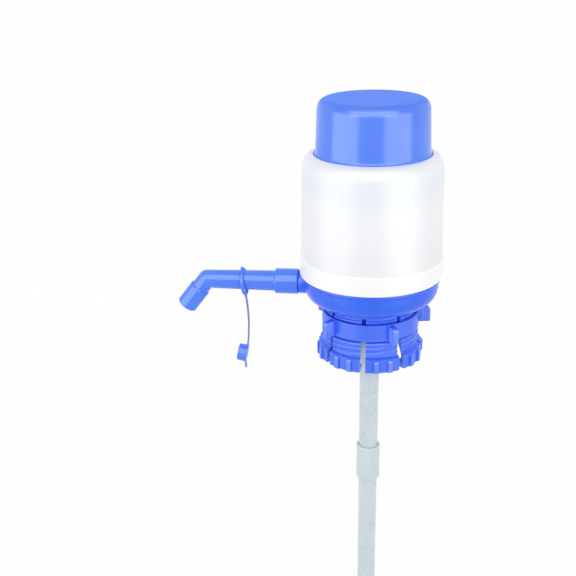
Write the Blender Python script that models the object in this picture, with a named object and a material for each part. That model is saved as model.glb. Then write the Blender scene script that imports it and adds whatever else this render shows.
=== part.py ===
"""A press-top hand pump for a water jug, as an assembly of its real pieces.

The palm pushes the blue cap down on a bellows. The bellows presses air through the valve deck and
the bowl into the bottle, and the air drives the water up the dip tube and out of the spout.

Metres, +Z up. The origin is the centre of the bottle's mouth, on the seal plane under the neck
gasket, and the spout points along -X.
"""

import math

import bmesh
import bpy
from mathutils import Matrix, Vector

# Fits and overruns that all the pieces share
FIT_GAP = 0.0003
CUT_OVERRUN = 0.001
JOIN_OVERLAP = 0.0008

# Edges sharper than this keep a crease in the shading
CREASE_DEG = 35

# How many flats stand for a full circle, and for a quarter of a small arc
LARGE_STEPS = 36
BELLOWS_STEPS = 18
TUBE_STEPS = 18
SMALL_STEPS = 12
HOLE_STEPS = 8
ARC_STEPS = 3

# Bottle neck that the pump is made for
NECK_RADIUS = 0.0275

# Neck gasket: a rubber washer, with the seal plane as its underside
GASKET_INNER_RADIUS = 0.020
GASKET_OVERHANG = 0.0005
GASKET_THICKNESS = 0.003
GASKET_OUTER_RADIUS = NECK_RADIUS + GASKET_OVERHANG

# Base bowl: floor, and the collar that stands round the bottle's mouth
FLOOR_THICKNESS = 0.0025
FLOOR_UNDERSIDE_Z = GASKET_THICKNESS + FIT_GAP
FLOOR_TOP_Z = FLOOR_UNDERSIDE_Z + FLOOR_THICKNESS
COLLAR_WALL = 0.0024
COLLAR_DROP = 0.009
COLLAR_INNER_RADIUS = GASKET_OUTER_RADIUS + FIT_GAP
COLLAR_OUTER_RADIUS = COLLAR_INNER_RADIUS + COLLAR_WALL

# Neck collet: a split collar whose fingers close on the bottle's neck
COLLET_COLLAR_GAP = 0.0005
FINGER_WALL = 0.0029
COLLET_BORE_RADIUS = COLLAR_OUTER_RADIUS + COLLET_COLLAR_GAP
COLLET_RADIUS = COLLET_BORE_RADIUS + FINGER_WALL
COLLET_THREAD_RISE = 0.0009
COLLET_FLANGE_REACH = 0.0024
COLLET_FLANGE_THICKNESS = 0.0024
COLLET_SWELL = 0.0026
COLLET_SWELL_HEIGHT = 0.0105
COLLET_RIM_HEIGHT = 0.0110
COLLET_RIM_REACH = 0.0028
COLLET_RIM_WALL = 0.0036
COLLET_RIM_SLOPE = 0.0028
COLLET_DEPTH = 0.0426
COLLET_LIP_THICKNESS = 0.002
COLLET_NECK_GAP = 0.0006
COLLET_EDGE = 0.0007
FINGER_COUNT = 8
SLOT_HEAD = 0.0055
SLOT_TOP_WIDTH = 0.0030
SLOT_RIM_WIDTH = 0.0040
FIRST_SLOT_DEG = -5.5
TEETH_PER_FINGER = 2
TOOTH_WIDTH = 0.0034
TOOTH_HEIGHT = 0.0015
TOOTH_DROP = 0.0012

# Clamp ring: it is screwed down over the fingers, to just above their swell
CLAMP_HEIGHT = 0.01285
CLAMP_SWELL_GAP = 0.0001
CLAMP_WALL = 0.0017
CLAMP_EDGE = 0.0005
LUG_COUNT = 5
FIRST_LUG_DEG = 26.6
LUG_REACH = 0.0090
LUG_THICKNESS = 0.0046
LUG_CORNER = 0.0022

# Base bowl: outside, from the seat of the collet up to the rim under the housing
BOWL_UNDERSIDE_Z = 0.0043
SEAT_LIP_THICKNESS = 0.0010
SEAT_CEILING = 0.0016
BOWL_FOOT_WALL = 0.0027
BOWL_WALL = 0.0026
BOWL_RIM_INSET = 0.0012
BOWL_RIM_REACH = 0.0013
BOWL_RIM_HEIGHT = 0.0031
BOWL_RIM_TOP_Z = 0.0237
SPIGOT_HEIGHT = 0.0093
SPIGOT_WALL = 0.0024
LEDGE_DROP = 0.0017

# Water way: a socket for the dip tube, a riser and the stub that carries the spout
WATERWAY_RADIUS = 0.0045
WATERWAY_FLOOR = 0.0012
WATERWAY_TURN_ROOM = 0.0015
STUB_WALL = 0.0027
STUB_ROOT_INSET = 0.0005
STUB_NECK_RISE = 0.0018
STUB_NECK_GAP = 0.0004
STUB_NECK_STEP = 0.0002
STUB_CHAMFER = 0.0008
AIR_HOLE_COUNT = 6
AIR_HOLE_RADIUS = 0.0022
AIR_HOLE_CIRCLE = 0.0150

# Dip tube: three push-fit lengths and the two sleeves that join them
TUBE_RADIUS = 0.0075
TUBE_WALL = 0.0013
TUBE_SOCKET_DEPTH = 0.017
TUBE_SOCKET_WALL = 0.0022
TUBE_LENGTH = 0.1430
COUPLER_LENGTH = 0.030
COUPLER_WALL = 0.0017
COUPLER_STOP = 0.0015
COUPLER_CHAMFER = 0.0008
INTAKE_NOTCH_COUNT = 2
INTAKE_NOTCH_WIDTH = 0.005
INTAKE_NOTCH_HEIGHT = 0.007

# Deck: the plate that closes the bowl, on a gasket, and holds the bellows
DECK_GASKET_THICKNESS = 0.0015
DECK_GASKET_WIDTH = 0.0024
DECK_THICKNESS = 0.003
DECK_RING_HEIGHT = 0.0036
DECK_RING_WALL = 0.0016
OUTLET_VALVE_INSET = 0.0085

# Bellows: a thin-walled bag with V folds
BELLOWS_CAP_GAP = 0.0012
BELLOWS_FOLD_DEPTH = 0.0075
BELLOWS_FOOT_REACH = 0.0007
BELLOWS_MOUTH_INSET = 0.0055
BELLOWS_FLANGE = 0.0015
BELLOWS_WALL = 0.0011
BELLOWS_NECK = 0.0071
FOLD_COUNT = 7

# Retainer: a ring that snaps over the deck's ring and presses on the bellows' foot
RETAINER_TOP = 0.002
RETAINER_WALL = 0.0021
RETAINER_BORE_GAP = 0.0011
RETAINER_PRESS_WIDTH = 0.0045
RETAINER_DECK_GAP = 0.0005

# Mushroom valves: a rubber disc on a stem that is held by a barb
VALVE_DISC_RADIUS = 0.0075
VALVE_DISC_THICKNESS = 0.0012
VALVE_STEM_RADIUS = 0.0016
VALVE_BARB_RADIUS = 0.0029
VALVE_BARB_HEIGHT = 0.0014
VALVE_LIFT = 0.0012
VALVE_HOLE_COUNT = 6
VALVE_HOLE_RADIUS = 0.0014
VALVE_HOLE_CIRCLE = 0.0048

# Housing: the white cylinder, with a thicker band at its foot and a rounded shoulder
BAND_RADIUS = 0.0537
BAND_HEIGHT = 0.0144
BAND_WALL = 0.0023
BAND_RISE = 0.0011
BAND_EDGE = 0.0006
HOUSING_TAPER = 0.0014
HOUSING_WALL = 0.0022
HOUSING_MOUTH_Z = 0.115
SHOULDER_WIDTH = 0.0084
SHOULDER_HEIGHT = 0.009
SPIGOT_COVER = 0.004

# Press cap: it is pushed down into the housing's mouth
CAP_STAND = 0.039
CAP_TAPER = 0.0014
CAP_FLARE_WIDTH = 0.0014
CAP_FLARE_HEIGHT = 0.0045
CAP_FLARE_GAP = 0.0004
CAP_CORNER = 0.007
CAP_WALL = 0.0018
CAP_TOP_THICKNESS = 0.0022
CAP_SKIRT_HEIGHT = 0.0180
CAP_RIB_COUNT = 6
CAP_RIB_THICKNESS = 0.0016
CAP_RIB_DEPTH = 0.0046
CAP_RIB_START = 0.0100
CAP_RIB_END_GAP = 0.0020

# Top plate: the disc between the cap's ribs and the bellows
PLATE_INSET = 0.004
PLATE_THICKNESS = 0.003
PLATE_SPIGOT_HEIGHT = 0.0055
PLATE_SPIGOT_WALL = 0.0022

# Spout: a socket that turns on the stub, a tapered pipe and a bend down to the nozzle
SOCKET_BAND_GAP = 0.0024
SOCKET_LENGTH = 0.0169
SOCKET_DEPTH = 0.0154
SOCKET_WALL = 0.0022
SOCKET_EDGE = 0.0008
PIPE_BORE_RADIUS = 0.0054
PIPE_WALL = 0.00165
PIPE_TAPER = 0.00055
PIPE_RUN = 0.0535
BEND_OUTER_CURL = 0.0063
BEND_INNER_CURL = 0.0012
BEND_DEG = 52
BEND_STEPS = 4
NOZZLE_START = 0.0095
NOZZLE_LENGTH = 0.0187
NOZZLE_OVERLAP = 0.0088
NOZZLE_WALL = 0.0014
NOZZLE_STOP = 0.0012
NOZZLE_EDGE = 0.0005
NOZZLE_MOUTH_STEP = 0.0001
PIPE_SPIGOT_WALL = 0.0009

# O-ring in the stub's groove
ORING_SECTION_RADIUS = 0.0008
ORING_GAP = 0.00015
ORING_SETBACK = 0.0079
ORING_GROOVE_SIDE = 0.0003
ORING_STEPS = 6

# Dust cap: a loop round the pipe, a strap, and a plug for the nozzle
LOOP_SETBACK = 0.0292
LOOP_WIDTH = 0.0018
LOOP_WALL = 0.0011
LOOP_SLACK = 0.0016
LOOP_LEAN_DEG = 6.5
STRAP_THICKNESS = 0.0010
STRAP_WIDTH = 0.0036
STRAP_CURL_RADIUS = 0.153
STRAP_APEX_DROP = 0.0345
STRAP_APEX_SHIFT = 0.0023
STRAP_STEPS = 9
PLUG_DROP = 0.0627
PLUG_RADIUS = 0.0067
PLUG_RIM = 0.0004
PLUG_TAPER = 0.0002
PLUG_LENGTH = 0.0062
PLUG_WALL = 0.0012
TAB_LENGTH = 0.0055
TAB_TILT_DEG = -13

# Heights and radii that follow from the sizes above
COLLET_RIM_RADIUS = COLLET_RADIUS + COLLET_SWELL + COLLET_RIM_REACH
COLLET_RIM_TOP_Z = -COLLET_DEPTH + COLLET_RIM_HEIGHT
COLLET_SWELL_TOP_Z = COLLET_RIM_TOP_Z + COLLET_SWELL_HEIGHT
COLLET_LAND_Z = COLLET_SWELL_TOP_Z + COLLET_RIM_SLOPE
COLLET_LAND_RADIUS = COLLET_RADIUS + COLLET_THREAD_RISE
COLLET_FLANGE_Z = BOWL_UNDERSIDE_Z + SEAT_LIP_THICKNESS + FIT_GAP
COLLET_TOP_Z = COLLET_FLANGE_Z + COLLET_FLANGE_THICKNESS
CLAMP_BOTTOM_Z = COLLET_LAND_Z + CLAMP_SWELL_GAP
CLAMP_BORE_RADIUS = COLLET_LAND_RADIUS + FIT_GAP
CLAMP_RADIUS = CLAMP_BORE_RADIUS + CLAMP_WALL
SEAT_TOP_RADIUS = COLLET_RADIUS + COLLET_FLANGE_REACH + FIT_GAP
SEAT_TOP_Z = COLLET_TOP_Z + FIT_GAP
SPOUT_AXIS_Z = SEAT_TOP_Z + WATERWAY_FLOOR + WATERWAY_RADIUS
STUB_RADIUS = WATERWAY_RADIUS + STUB_WALL
HOUSING_FOOT_RADIUS = BAND_RADIUS - BAND_RISE
HOUSING_TOP_RADIUS = HOUSING_FOOT_RADIUS - HOUSING_TAPER
HOUSING_MOUTH_RADIUS = HOUSING_TOP_RADIUS - SHOULDER_WIDTH
BAND_BOTTOM_Z = BOWL_RIM_TOP_Z + FIT_GAP
BOWL_RIM_RADIUS = BAND_RADIUS - BOWL_RIM_INSET
BOWL_SIDE_RADIUS = BOWL_RIM_RADIUS - BOWL_RIM_REACH
BOWL_FOOT_RADIUS = SEAT_TOP_RADIUS + BOWL_FOOT_WALL
SPIGOT_RADIUS = BAND_RADIUS - BAND_WALL - FIT_GAP
SPIGOT_TOP_Z = BOWL_RIM_TOP_Z + SPIGOT_HEIGHT
SPIGOT_BORE_RADIUS = SPIGOT_RADIUS - SPIGOT_WALL
LEDGE_Z = BOWL_RIM_TOP_Z - LEDGE_DROP
DECK_Z = LEDGE_Z + DECK_GASKET_THICKNESS + 2 * FIT_GAP
DECK_TOP_Z = DECK_Z + DECK_THICKNESS
DECK_RADIUS = SPIGOT_BORE_RADIUS - FIT_GAP
CAP_TOP_Z = HOUSING_MOUTH_Z + CAP_STAND
CAP_FOOT_RADIUS = HOUSING_MOUTH_RADIUS - CAP_FLARE_WIDTH
CAP_TOP_RADIUS = CAP_FOOT_RADIUS - CAP_TAPER
BELLOWS_CREST_RADIUS = CAP_TOP_RADIUS - CAP_WALL - BELLOWS_CAP_GAP
BELLOWS_ROOT_RADIUS = BELLOWS_CREST_RADIUS - BELLOWS_FOLD_DEPTH
BELLOWS_MOUTH_RADIUS = BELLOWS_ROOT_RADIUS - BELLOWS_MOUTH_INSET
BELLOWS_FOOT_RADIUS = BELLOWS_CREST_RADIUS + BELLOWS_FOOT_REACH
OUTLET_VALVE_OFFSET = BELLOWS_MOUTH_RADIUS - OUTLET_VALVE_INSET
BELLOWS_FOOT_Z = DECK_TOP_Z + FIT_GAP
DECK_RING_RADIUS = BELLOWS_FOOT_RADIUS + FIT_GAP
PLATE_RADIUS = BELLOWS_CREST_RADIUS - PLATE_INSET
PLATE_TOP_Z = CAP_TOP_Z - CAP_TOP_THICKNESS - CAP_RIB_DEPTH - FIT_GAP
PLATE_Z = PLATE_TOP_Z - PLATE_THICKNESS
BELLOWS_TOP_Z = PLATE_Z - FIT_GAP
VALVE_HOLE_STEM_RADIUS = VALVE_STEM_RADIUS + FIT_GAP
TUBE_SEAT_RADIUS = TUBE_RADIUS + FIT_GAP
TUBE_BORE_RADIUS = TUBE_RADIUS - TUBE_WALL
SOCKET_START = BAND_RADIUS + SOCKET_BAND_GAP
SOCKET_BORE_RADIUS = STUB_RADIUS + FIT_GAP
SOCKET_RADIUS = SOCKET_BORE_RADIUS + SOCKET_WALL
SOCKET_END = SOCKET_START + SOCKET_LENGTH
STUB_ROOT_DISTANCE = BOWL_FOOT_RADIUS + STUB_ROOT_INSET
ORING_DISTANCE = SOCKET_START + ORING_SETBACK
PIPE_END_RADIUS = PIPE_BORE_RADIUS + PIPE_WALL
PIPE_ROOT_RADIUS = PIPE_END_RADIUS + PIPE_TAPER
PIPE_SPIGOT_RADIUS = PIPE_BORE_RADIUS + PIPE_SPIGOT_WALL
BEND_DISTANCE = SOCKET_END + PIPE_RUN
BEND_POINT = Vector((-BEND_DISTANCE, 0, SPOUT_AXIS_Z))
NOZZLE_DIRECTION = Vector((-math.cos(math.radians(BEND_DEG)), 0, -math.sin(math.radians(BEND_DEG))))
LOOP_DISTANCE = BEND_DISTANCE - LOOP_SETBACK
PLUG_PLATE_RADIUS = PLUG_RADIUS + PLUG_RIM

# Colours as the photo shows them: red, green and blue, then roughness
CAP_BLUE = (0.130, 0.283, 0.985, 0.28)
BODY_BLUE = (0.060, 0.180, 0.945, 0.34)
CLAMP_BLUE = (0.075, 0.205, 0.940, 0.38)
STRAP_BLUE = (0.120, 0.200, 0.800, 0.45)
SHELL_WHITE = (0.860, 0.880, 0.910, 0.42)
INNER_WHITE = (0.800, 0.810, 0.800, 0.50)
TUBE_WHITE = (0.700, 0.760, 0.800, 0.35)
RUBBER_GREY = (0.110, 0.110, 0.115, 0.80)
RUBBER_CLEAR = (0.600, 0.600, 0.560, 0.70)


def clear_scene():
    for thing in list(bpy.data.objects):
        bpy.data.objects.remove(thing, do_unlink=True)


def moulded_material(name, look):
    """A Principled plastic or rubber in one colour."""
    red, green, blue, roughness = look
    material = bpy.data.materials.new(name)
    material.use_nodes = True
    shader = material.node_tree.nodes["Principled BSDF"]
    shader.inputs["Base Color"].default_value = (red, green, blue, 1)
    shader.inputs["Roughness"].default_value = roughness
    shader.inputs["Metallic"].default_value = 0
    material.diffuse_color = (red, green, blue, 1)
    return material


def circle(radius, height, steps, start_deg=0):
    """Points round the Z axis. A radius of zero gives one point."""
    if radius == 0:
        return [Vector((0, 0, height))]
    angles = [math.radians(start_deg) + math.tau * step / steps for step in range(steps)]
    return [Vector((radius * math.cos(a), radius * math.sin(a), height)) for a in angles]


def skin(mesh, rings, closed=True):
    """Bridges each ring of points to the next, and the last to the first if closed."""
    loops = [[mesh.verts.new(point) for point in ring] for ring in rings]
    pairs = list(zip(loops, loops[1:]))
    if closed:
        pairs.append((loops[-1], loops[0]))
    for ring, following in pairs:
        count = max(len(ring), len(following))
        if len(ring) == 1 and len(following) == 1:
            continue
        for index in range(count):
            after = (index + 1) % count
            corners = [ring[index % len(ring)], following[index % len(following)]]
            if len(following) > 1:
                corners.append(following[after])
            if len(ring) > 1:
                corners.append(ring[after])
            mesh.faces.new(corners)
    return loops


def turned(profile, steps, start_deg=0):
    """A solid turned round the Z axis from a closed outline of (radius, height) points."""
    mesh = bmesh.new()
    skin(mesh, [circle(radius, height, steps, start_deg) for radius, height in profile])
    return mesh


def swept(sections):
    """A solid through open sections of equal point count, with flat ends."""
    mesh = bmesh.new()
    loops = skin(mesh, sections, closed=False)
    mesh.faces.new(loops[0])
    mesh.faces.new(reversed(loops[-1]))
    return mesh


def block(low, high):
    """A box between two corners."""
    mesh = bmesh.new()
    size = Vector(high) - Vector(low)
    middle = (Vector(high) + Vector(low)) / 2
    bmesh.ops.create_cube(mesh, size=1)
    bmesh.ops.scale(mesh, vec=size, verts=mesh.verts)
    bmesh.ops.translate(mesh, vec=middle, verts=mesh.verts)
    return mesh


def extruded(outline, thickness):
    """A plate of the given outline of (x, z) points, centred on y = 0."""
    sides = (-thickness / 2, thickness / 2)
    return swept([[Vector((x, side, z)) for x, z in outline] for side in sides])


def moved(mesh, matrix):
    bmesh.ops.transform(mesh, matrix=matrix, verts=mesh.verts)
    return mesh


def merged(meshes):
    """Several meshes in one, still as separate bodies."""
    whole = bmesh.new()
    for mesh in meshes:
        scratch = bpy.data.meshes.new("scratch")
        mesh.to_mesh(scratch)
        mesh.free()
        whole.from_mesh(scratch)
        bpy.data.meshes.remove(scratch)
    return whole


def around(make, count, first_deg=0):
    """Copies of a mesh, spaced evenly round the Z axis."""
    copies = []
    for index in range(count):
        turn = Matrix.Rotation(math.radians(first_deg) + math.tau * index / count, 4, "Z")
        copies.append(moved(make(), turn))
    return merged(copies)


def arc(centre, reach, start_deg, end_deg, steps=ARC_STEPS):
    """Points on an ellipse arc: centre and reach are (radius, height) pairs."""
    points = []
    for step in range(steps + 1):
        angle = math.radians(start_deg + (end_deg - start_deg) * step / steps)
        radius = centre[0] + reach[0] * math.cos(angle)
        height = centre[1] + reach[1] * math.sin(angle)
        points.append((radius, height))
    return points


def rod(radius, low, high, steps=HOLE_STEPS):
    """A plain rod on the Z axis, from one height to another."""
    return turned([(0, high), (radius, high), (radius, low), (0, low)], steps)


def towards(direction, start):
    """The matrix that lays a shape made up the Z axis along a direction from a point."""
    turn = Vector(direction).to_track_quat("Z", "Y").to_matrix().to_4x4()
    return Matrix.Translation(start) @ turn


def joint_empty(name, place):
    """An empty on a joint's axis, which carries the pieces that move together."""
    empty = bpy.data.objects.new(name, None)
    empty.location = place
    empty.empty_display_size = PLATE_RADIUS
    bpy.context.scene.collection.objects.link(empty)
    return empty


def world_origin(thing):
    place = Vector((0, 0, 0))
    while thing:
        place = place + Vector(thing.location)
        thing = thing.parent
    return place


def piece(name, mesh, look, parent=None):
    """Makes a named object from a mesh in world places, with its origin on its parent's."""
    origin = world_origin(parent)
    bmesh.ops.translate(mesh, vec=-origin, verts=mesh.verts)
    bmesh.ops.recalc_face_normals(mesh, faces=mesh.faces)
    data = bpy.data.meshes.new(name)
    mesh.to_mesh(data)
    mesh.free()
    data.shade_smooth()
    data.set_sharp_from_angle(angle=math.radians(CREASE_DEG))
    made = bpy.data.objects.new(name, data)
    made.parent = parent
    if look:
        data.materials.append(moulded_material(name, look))
    bpy.context.scene.collection.objects.link(made)
    return made


def boolean(target, mesh, operation, name):
    """Joins a shape in world places to a piece, or cuts it away, and keeps the shape as a guide."""
    tool = piece(f"{target.name}.{name}", mesh, None)
    tool.parent = target
    tool.location = -world_origin(target)
    tool.hide_render = True
    tool.display_type = "WIRE"
    modifier = target.modifiers.new(name, "BOOLEAN")
    modifier.operation = operation
    modifier.object = tool
    modifier.solver = "EXACT"


def join(target, mesh, name):
    boolean(target, mesh, "UNION", name)


def cut(target, mesh, name):
    boolean(target, mesh, "DIFFERENCE", name)


def along_stub(distance, radius):
    """A (radius, height) point for a shape that is turned up +Z and then laid along -X."""
    return (radius, distance)


def laid_along_spout(mesh):
    return moved(mesh, towards((-1, 0, 0), (0, 0, SPOUT_AXIS_Z)))


def bowl_outline():
    """The bowl's section, down its outside, in over the neck collar and up its inside."""
    curve_top = BOWL_RIM_TOP_Z - BOWL_RIM_HEIGHT
    curve_reach = (BOWL_SIDE_RADIUS - BOWL_FOOT_RADIUS, -(curve_top - BOWL_UNDERSIDE_Z))
    side = arc((BOWL_FOOT_RADIUS, curve_top), curve_reach, 0, 90, ARC_STEPS + 2)
    collar_blank = COLLAR_OUTER_RADIUS + COLLAR_WALL
    inner_floor_z = SEAT_TOP_Z + SEAT_CEILING
    floor_share = (curve_top - inner_floor_z) / (curve_top - BOWL_UNDERSIDE_Z)
    inner_radius = BOWL_FOOT_RADIUS + curve_reach[0] * math.sqrt(1 - floor_share**2) - BOWL_WALL
    step_radius = COLLAR_OUTER_RADIUS - SEAT_CEILING
    return [
        (SPIGOT_RADIUS, SPIGOT_TOP_Z),
        (SPIGOT_RADIUS, BOWL_RIM_TOP_Z),
        (BOWL_RIM_RADIUS, BOWL_RIM_TOP_Z),
        (BOWL_RIM_RADIUS, curve_top),
        *side,
        (collar_blank, BOWL_UNDERSIDE_Z),
        (collar_blank, -COLLAR_DROP),
        (COLLAR_INNER_RADIUS, -COLLAR_DROP),
        (COLLAR_INNER_RADIUS, FLOOR_UNDERSIDE_Z),
        (0, FLOOR_UNDERSIDE_Z),
        (0, FLOOR_TOP_Z),
        (step_radius, FLOOR_TOP_Z),
        (step_radius, inner_floor_z),
        (inner_radius, inner_floor_z),
        (inner_radius, LEDGE_Z),
        (SPIGOT_BORE_RADIUS, LEDGE_Z),
        (SPIGOT_BORE_RADIUS, SPIGOT_TOP_Z),
    ]


def riser_outline():
    """The domed riser in the bowl, and below the floor the socket that holds the dip tube."""
    boss_radius = TUBE_SEAT_RADIUS + TUBE_SOCKET_WALL
    dome = arc((0, SPOUT_AXIS_Z), (STUB_RADIUS, STUB_RADIUS), 90, 0)
    middle_z = (FLOOR_UNDERSIDE_Z + FLOOR_TOP_Z) / 2
    return [
        (0, SPOUT_AXIS_Z + STUB_RADIUS),
        *dome[1:],
        (STUB_RADIUS, middle_z),
        (boss_radius, middle_z),
        (boss_radius, FLOOR_UNDERSIDE_Z - TUBE_SOCKET_DEPTH),
        (0, FLOOR_UNDERSIDE_Z - TUBE_SOCKET_DEPTH),
    ]


def stub_outline():
    """The stub's section, from inside the riser out to its free end."""
    groove_half = ORING_SECTION_RADIUS + ORING_GROOVE_SIDE
    groove_radius = SOCKET_BORE_RADIUS - 2 * (ORING_SECTION_RADIUS + ORING_GAP)
    end = SOCKET_START + SOCKET_DEPTH - FIT_GAP
    return [
        along_stub(-WATERWAY_RADIUS / 3, 0),
        along_stub(-WATERWAY_RADIUS / 3, STUB_RADIUS - JOIN_OVERLAP),
        along_stub(STUB_ROOT_DISTANCE, STUB_RADIUS - JOIN_OVERLAP),
        along_stub(STUB_ROOT_DISTANCE, STUB_RADIUS),
        along_stub(ORING_DISTANCE - groove_half, STUB_RADIUS),
        along_stub(ORING_DISTANCE - groove_half, groove_radius),
        along_stub(ORING_DISTANCE + groove_half, groove_radius),
        along_stub(ORING_DISTANCE + groove_half, STUB_RADIUS),
        along_stub(end - STUB_CHAMFER, STUB_RADIUS),
        along_stub(end, STUB_RADIUS - STUB_CHAMFER),
        along_stub(end, 0),
    ]


def stub_neck():
    """The thick neck of the stub. Inside the bowl its upper side is flat, clear of the deck's gasket."""
    flat_z = LEDGE_Z - STUB_NECK_GAP
    full = SPIGOT_BORE_RADIUS + STUB_NECK_GAP
    stations = [
        (STUB_ROOT_DISTANCE - JOIN_OVERLAP, flat_z),
        (full - STUB_NECK_STEP, flat_z),
        (full, BOWL_RIM_TOP_Z),
        (SOCKET_START - FIT_GAP, BOWL_RIM_TOP_Z),
    ]
    rings = []
    for distance, ceiling in stations:
        ring = first_leg(distance, STUB_RADIUS + STUB_NECK_RISE)
        rings.append([Vector((point.x, point.y, min(point.z, ceiling))) for point in ring])
    return swept(rings)


def collet_seat():
    """The cutter for the seat of the collet's flange. It also trims the neck collar's outside."""
    seat_mouth_z = -COLLAR_DROP - CUT_OVERRUN
    lip_radius = COLLET_RADIUS + FIT_GAP
    lip_top_z = BOWL_UNDERSIDE_Z + SEAT_LIP_THICKNESS
    outline = [
        (COLLAR_OUTER_RADIUS, SEAT_TOP_Z),
        (SEAT_TOP_RADIUS, SEAT_TOP_Z),
        (SEAT_TOP_RADIUS, lip_top_z),
        (lip_radius, lip_top_z),
        (lip_radius, seat_mouth_z),
        (COLLAR_OUTER_RADIUS, seat_mouth_z),
    ]
    return turned(outline, LARGE_STEPS)


def water_way():
    """The cutter for the dip tube's socket, the riser, its turn and the channel in the stub."""
    turn_radius = WATERWAY_RADIUS + WATERWAY_TURN_ROOM
    sections = [
        circle(TUBE_SEAT_RADIUS, FLOOR_UNDERSIDE_Z - TUBE_SOCKET_DEPTH - CUT_OVERRUN, TUBE_STEPS),
        circle(TUBE_SEAT_RADIUS, FLOOR_UNDERSIDE_Z, TUBE_STEPS),
        circle(WATERWAY_RADIUS, FLOOR_UNDERSIDE_Z, TUBE_STEPS),
    ]
    centre = Matrix.Translation((-turn_radius, 0, SPOUT_AXIS_Z - turn_radius))
    out = Matrix.Translation((turn_radius, 0, 0))
    for step in range(ARC_STEPS + 1):
        place = centre @ Matrix.Rotation(-math.pi / 2 * step / ARC_STEPS, 4, "Y") @ out
        sections.append([place @ point for point in circle(WATERWAY_RADIUS, 0, TUBE_STEPS)])
    run = SOCKET_START + SOCKET_DEPTH + CUT_OVERRUN - turn_radius
    sections.append([point - Vector((run, 0, 0)) for point in sections[-1]])
    return swept(sections)


def air_hole():
    hole = rod(AIR_HOLE_RADIUS, FLOOR_UNDERSIDE_Z - CUT_OVERRUN, FLOOR_TOP_Z + CUT_OVERRUN)
    return moved(hole, Matrix.Translation((AIR_HOLE_CIRCLE, 0, 0)))


def make_base_bowl():
    bowl = piece("base_bowl", turned(bowl_outline(), LARGE_STEPS), BODY_BLUE)
    join(bowl, turned(riser_outline(), TUBE_STEPS), "riser_wall")
    join(bowl, stub_neck(), "stub_neck")
    join(bowl, laid_along_spout(turned(stub_outline(), TUBE_STEPS)), "stub")

    # The seat, the water way and the air holes don't meet, so one cutter makes them all
    air_holes = around(air_hole, AIR_HOLE_COUNT, 180 / AIR_HOLE_COUNT)
    cut(bowl, merged([collet_seat(), water_way(), air_holes]), "hollows")


def collet_outline():
    """The collet's section: flange, finger, swell, toothed rim and the lip under the neck.

    A plain land at the thread's crest stands for the outside thread, which the clamp ring runs on.
    """
    swell_radius = COLLET_RADIUS + COLLET_SWELL
    inner_rim_radius = COLLET_RIM_RADIUS - COLLET_RIM_WALL
    lip_radius = NECK_RADIUS + COLLET_NECK_GAP
    lip_top_z = -COLLET_DEPTH + COLLET_LIP_THICKNESS
    inner_slope_z = lip_top_z + COLLET_LIP_THICKNESS
    flange_radius = COLLET_RADIUS + COLLET_FLANGE_REACH
    return [
        (COLLET_BORE_RADIUS, COLLET_TOP_Z),
        (flange_radius - COLLET_EDGE, COLLET_TOP_Z),
        (flange_radius, COLLET_TOP_Z - COLLET_EDGE),
        (flange_radius, COLLET_FLANGE_Z),
        (COLLET_RADIUS, COLLET_FLANGE_Z),
        (COLLET_RADIUS, BOWL_UNDERSIDE_Z - FIT_GAP),
        (COLLET_LAND_RADIUS, BOWL_UNDERSIDE_Z - FIT_GAP),
        (COLLET_LAND_RADIUS, COLLET_LAND_Z),
        (swell_radius, COLLET_SWELL_TOP_Z),
        (swell_radius, COLLET_RIM_TOP_Z + COLLET_EDGE),
        (COLLET_RIM_RADIUS, COLLET_RIM_TOP_Z - COLLET_EDGE),
        (COLLET_RIM_RADIUS, -COLLET_DEPTH + COLLET_EDGE),
        (COLLET_RIM_RADIUS - COLLET_EDGE, -COLLET_DEPTH),
        (lip_radius, -COLLET_DEPTH),
        (lip_radius, lip_top_z),
        (inner_rim_radius, inner_slope_z),
        (inner_rim_radius, COLLET_RIM_TOP_Z),
        (COLLET_BORE_RADIUS, COLLET_SWELL_TOP_Z),
    ]


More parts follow.
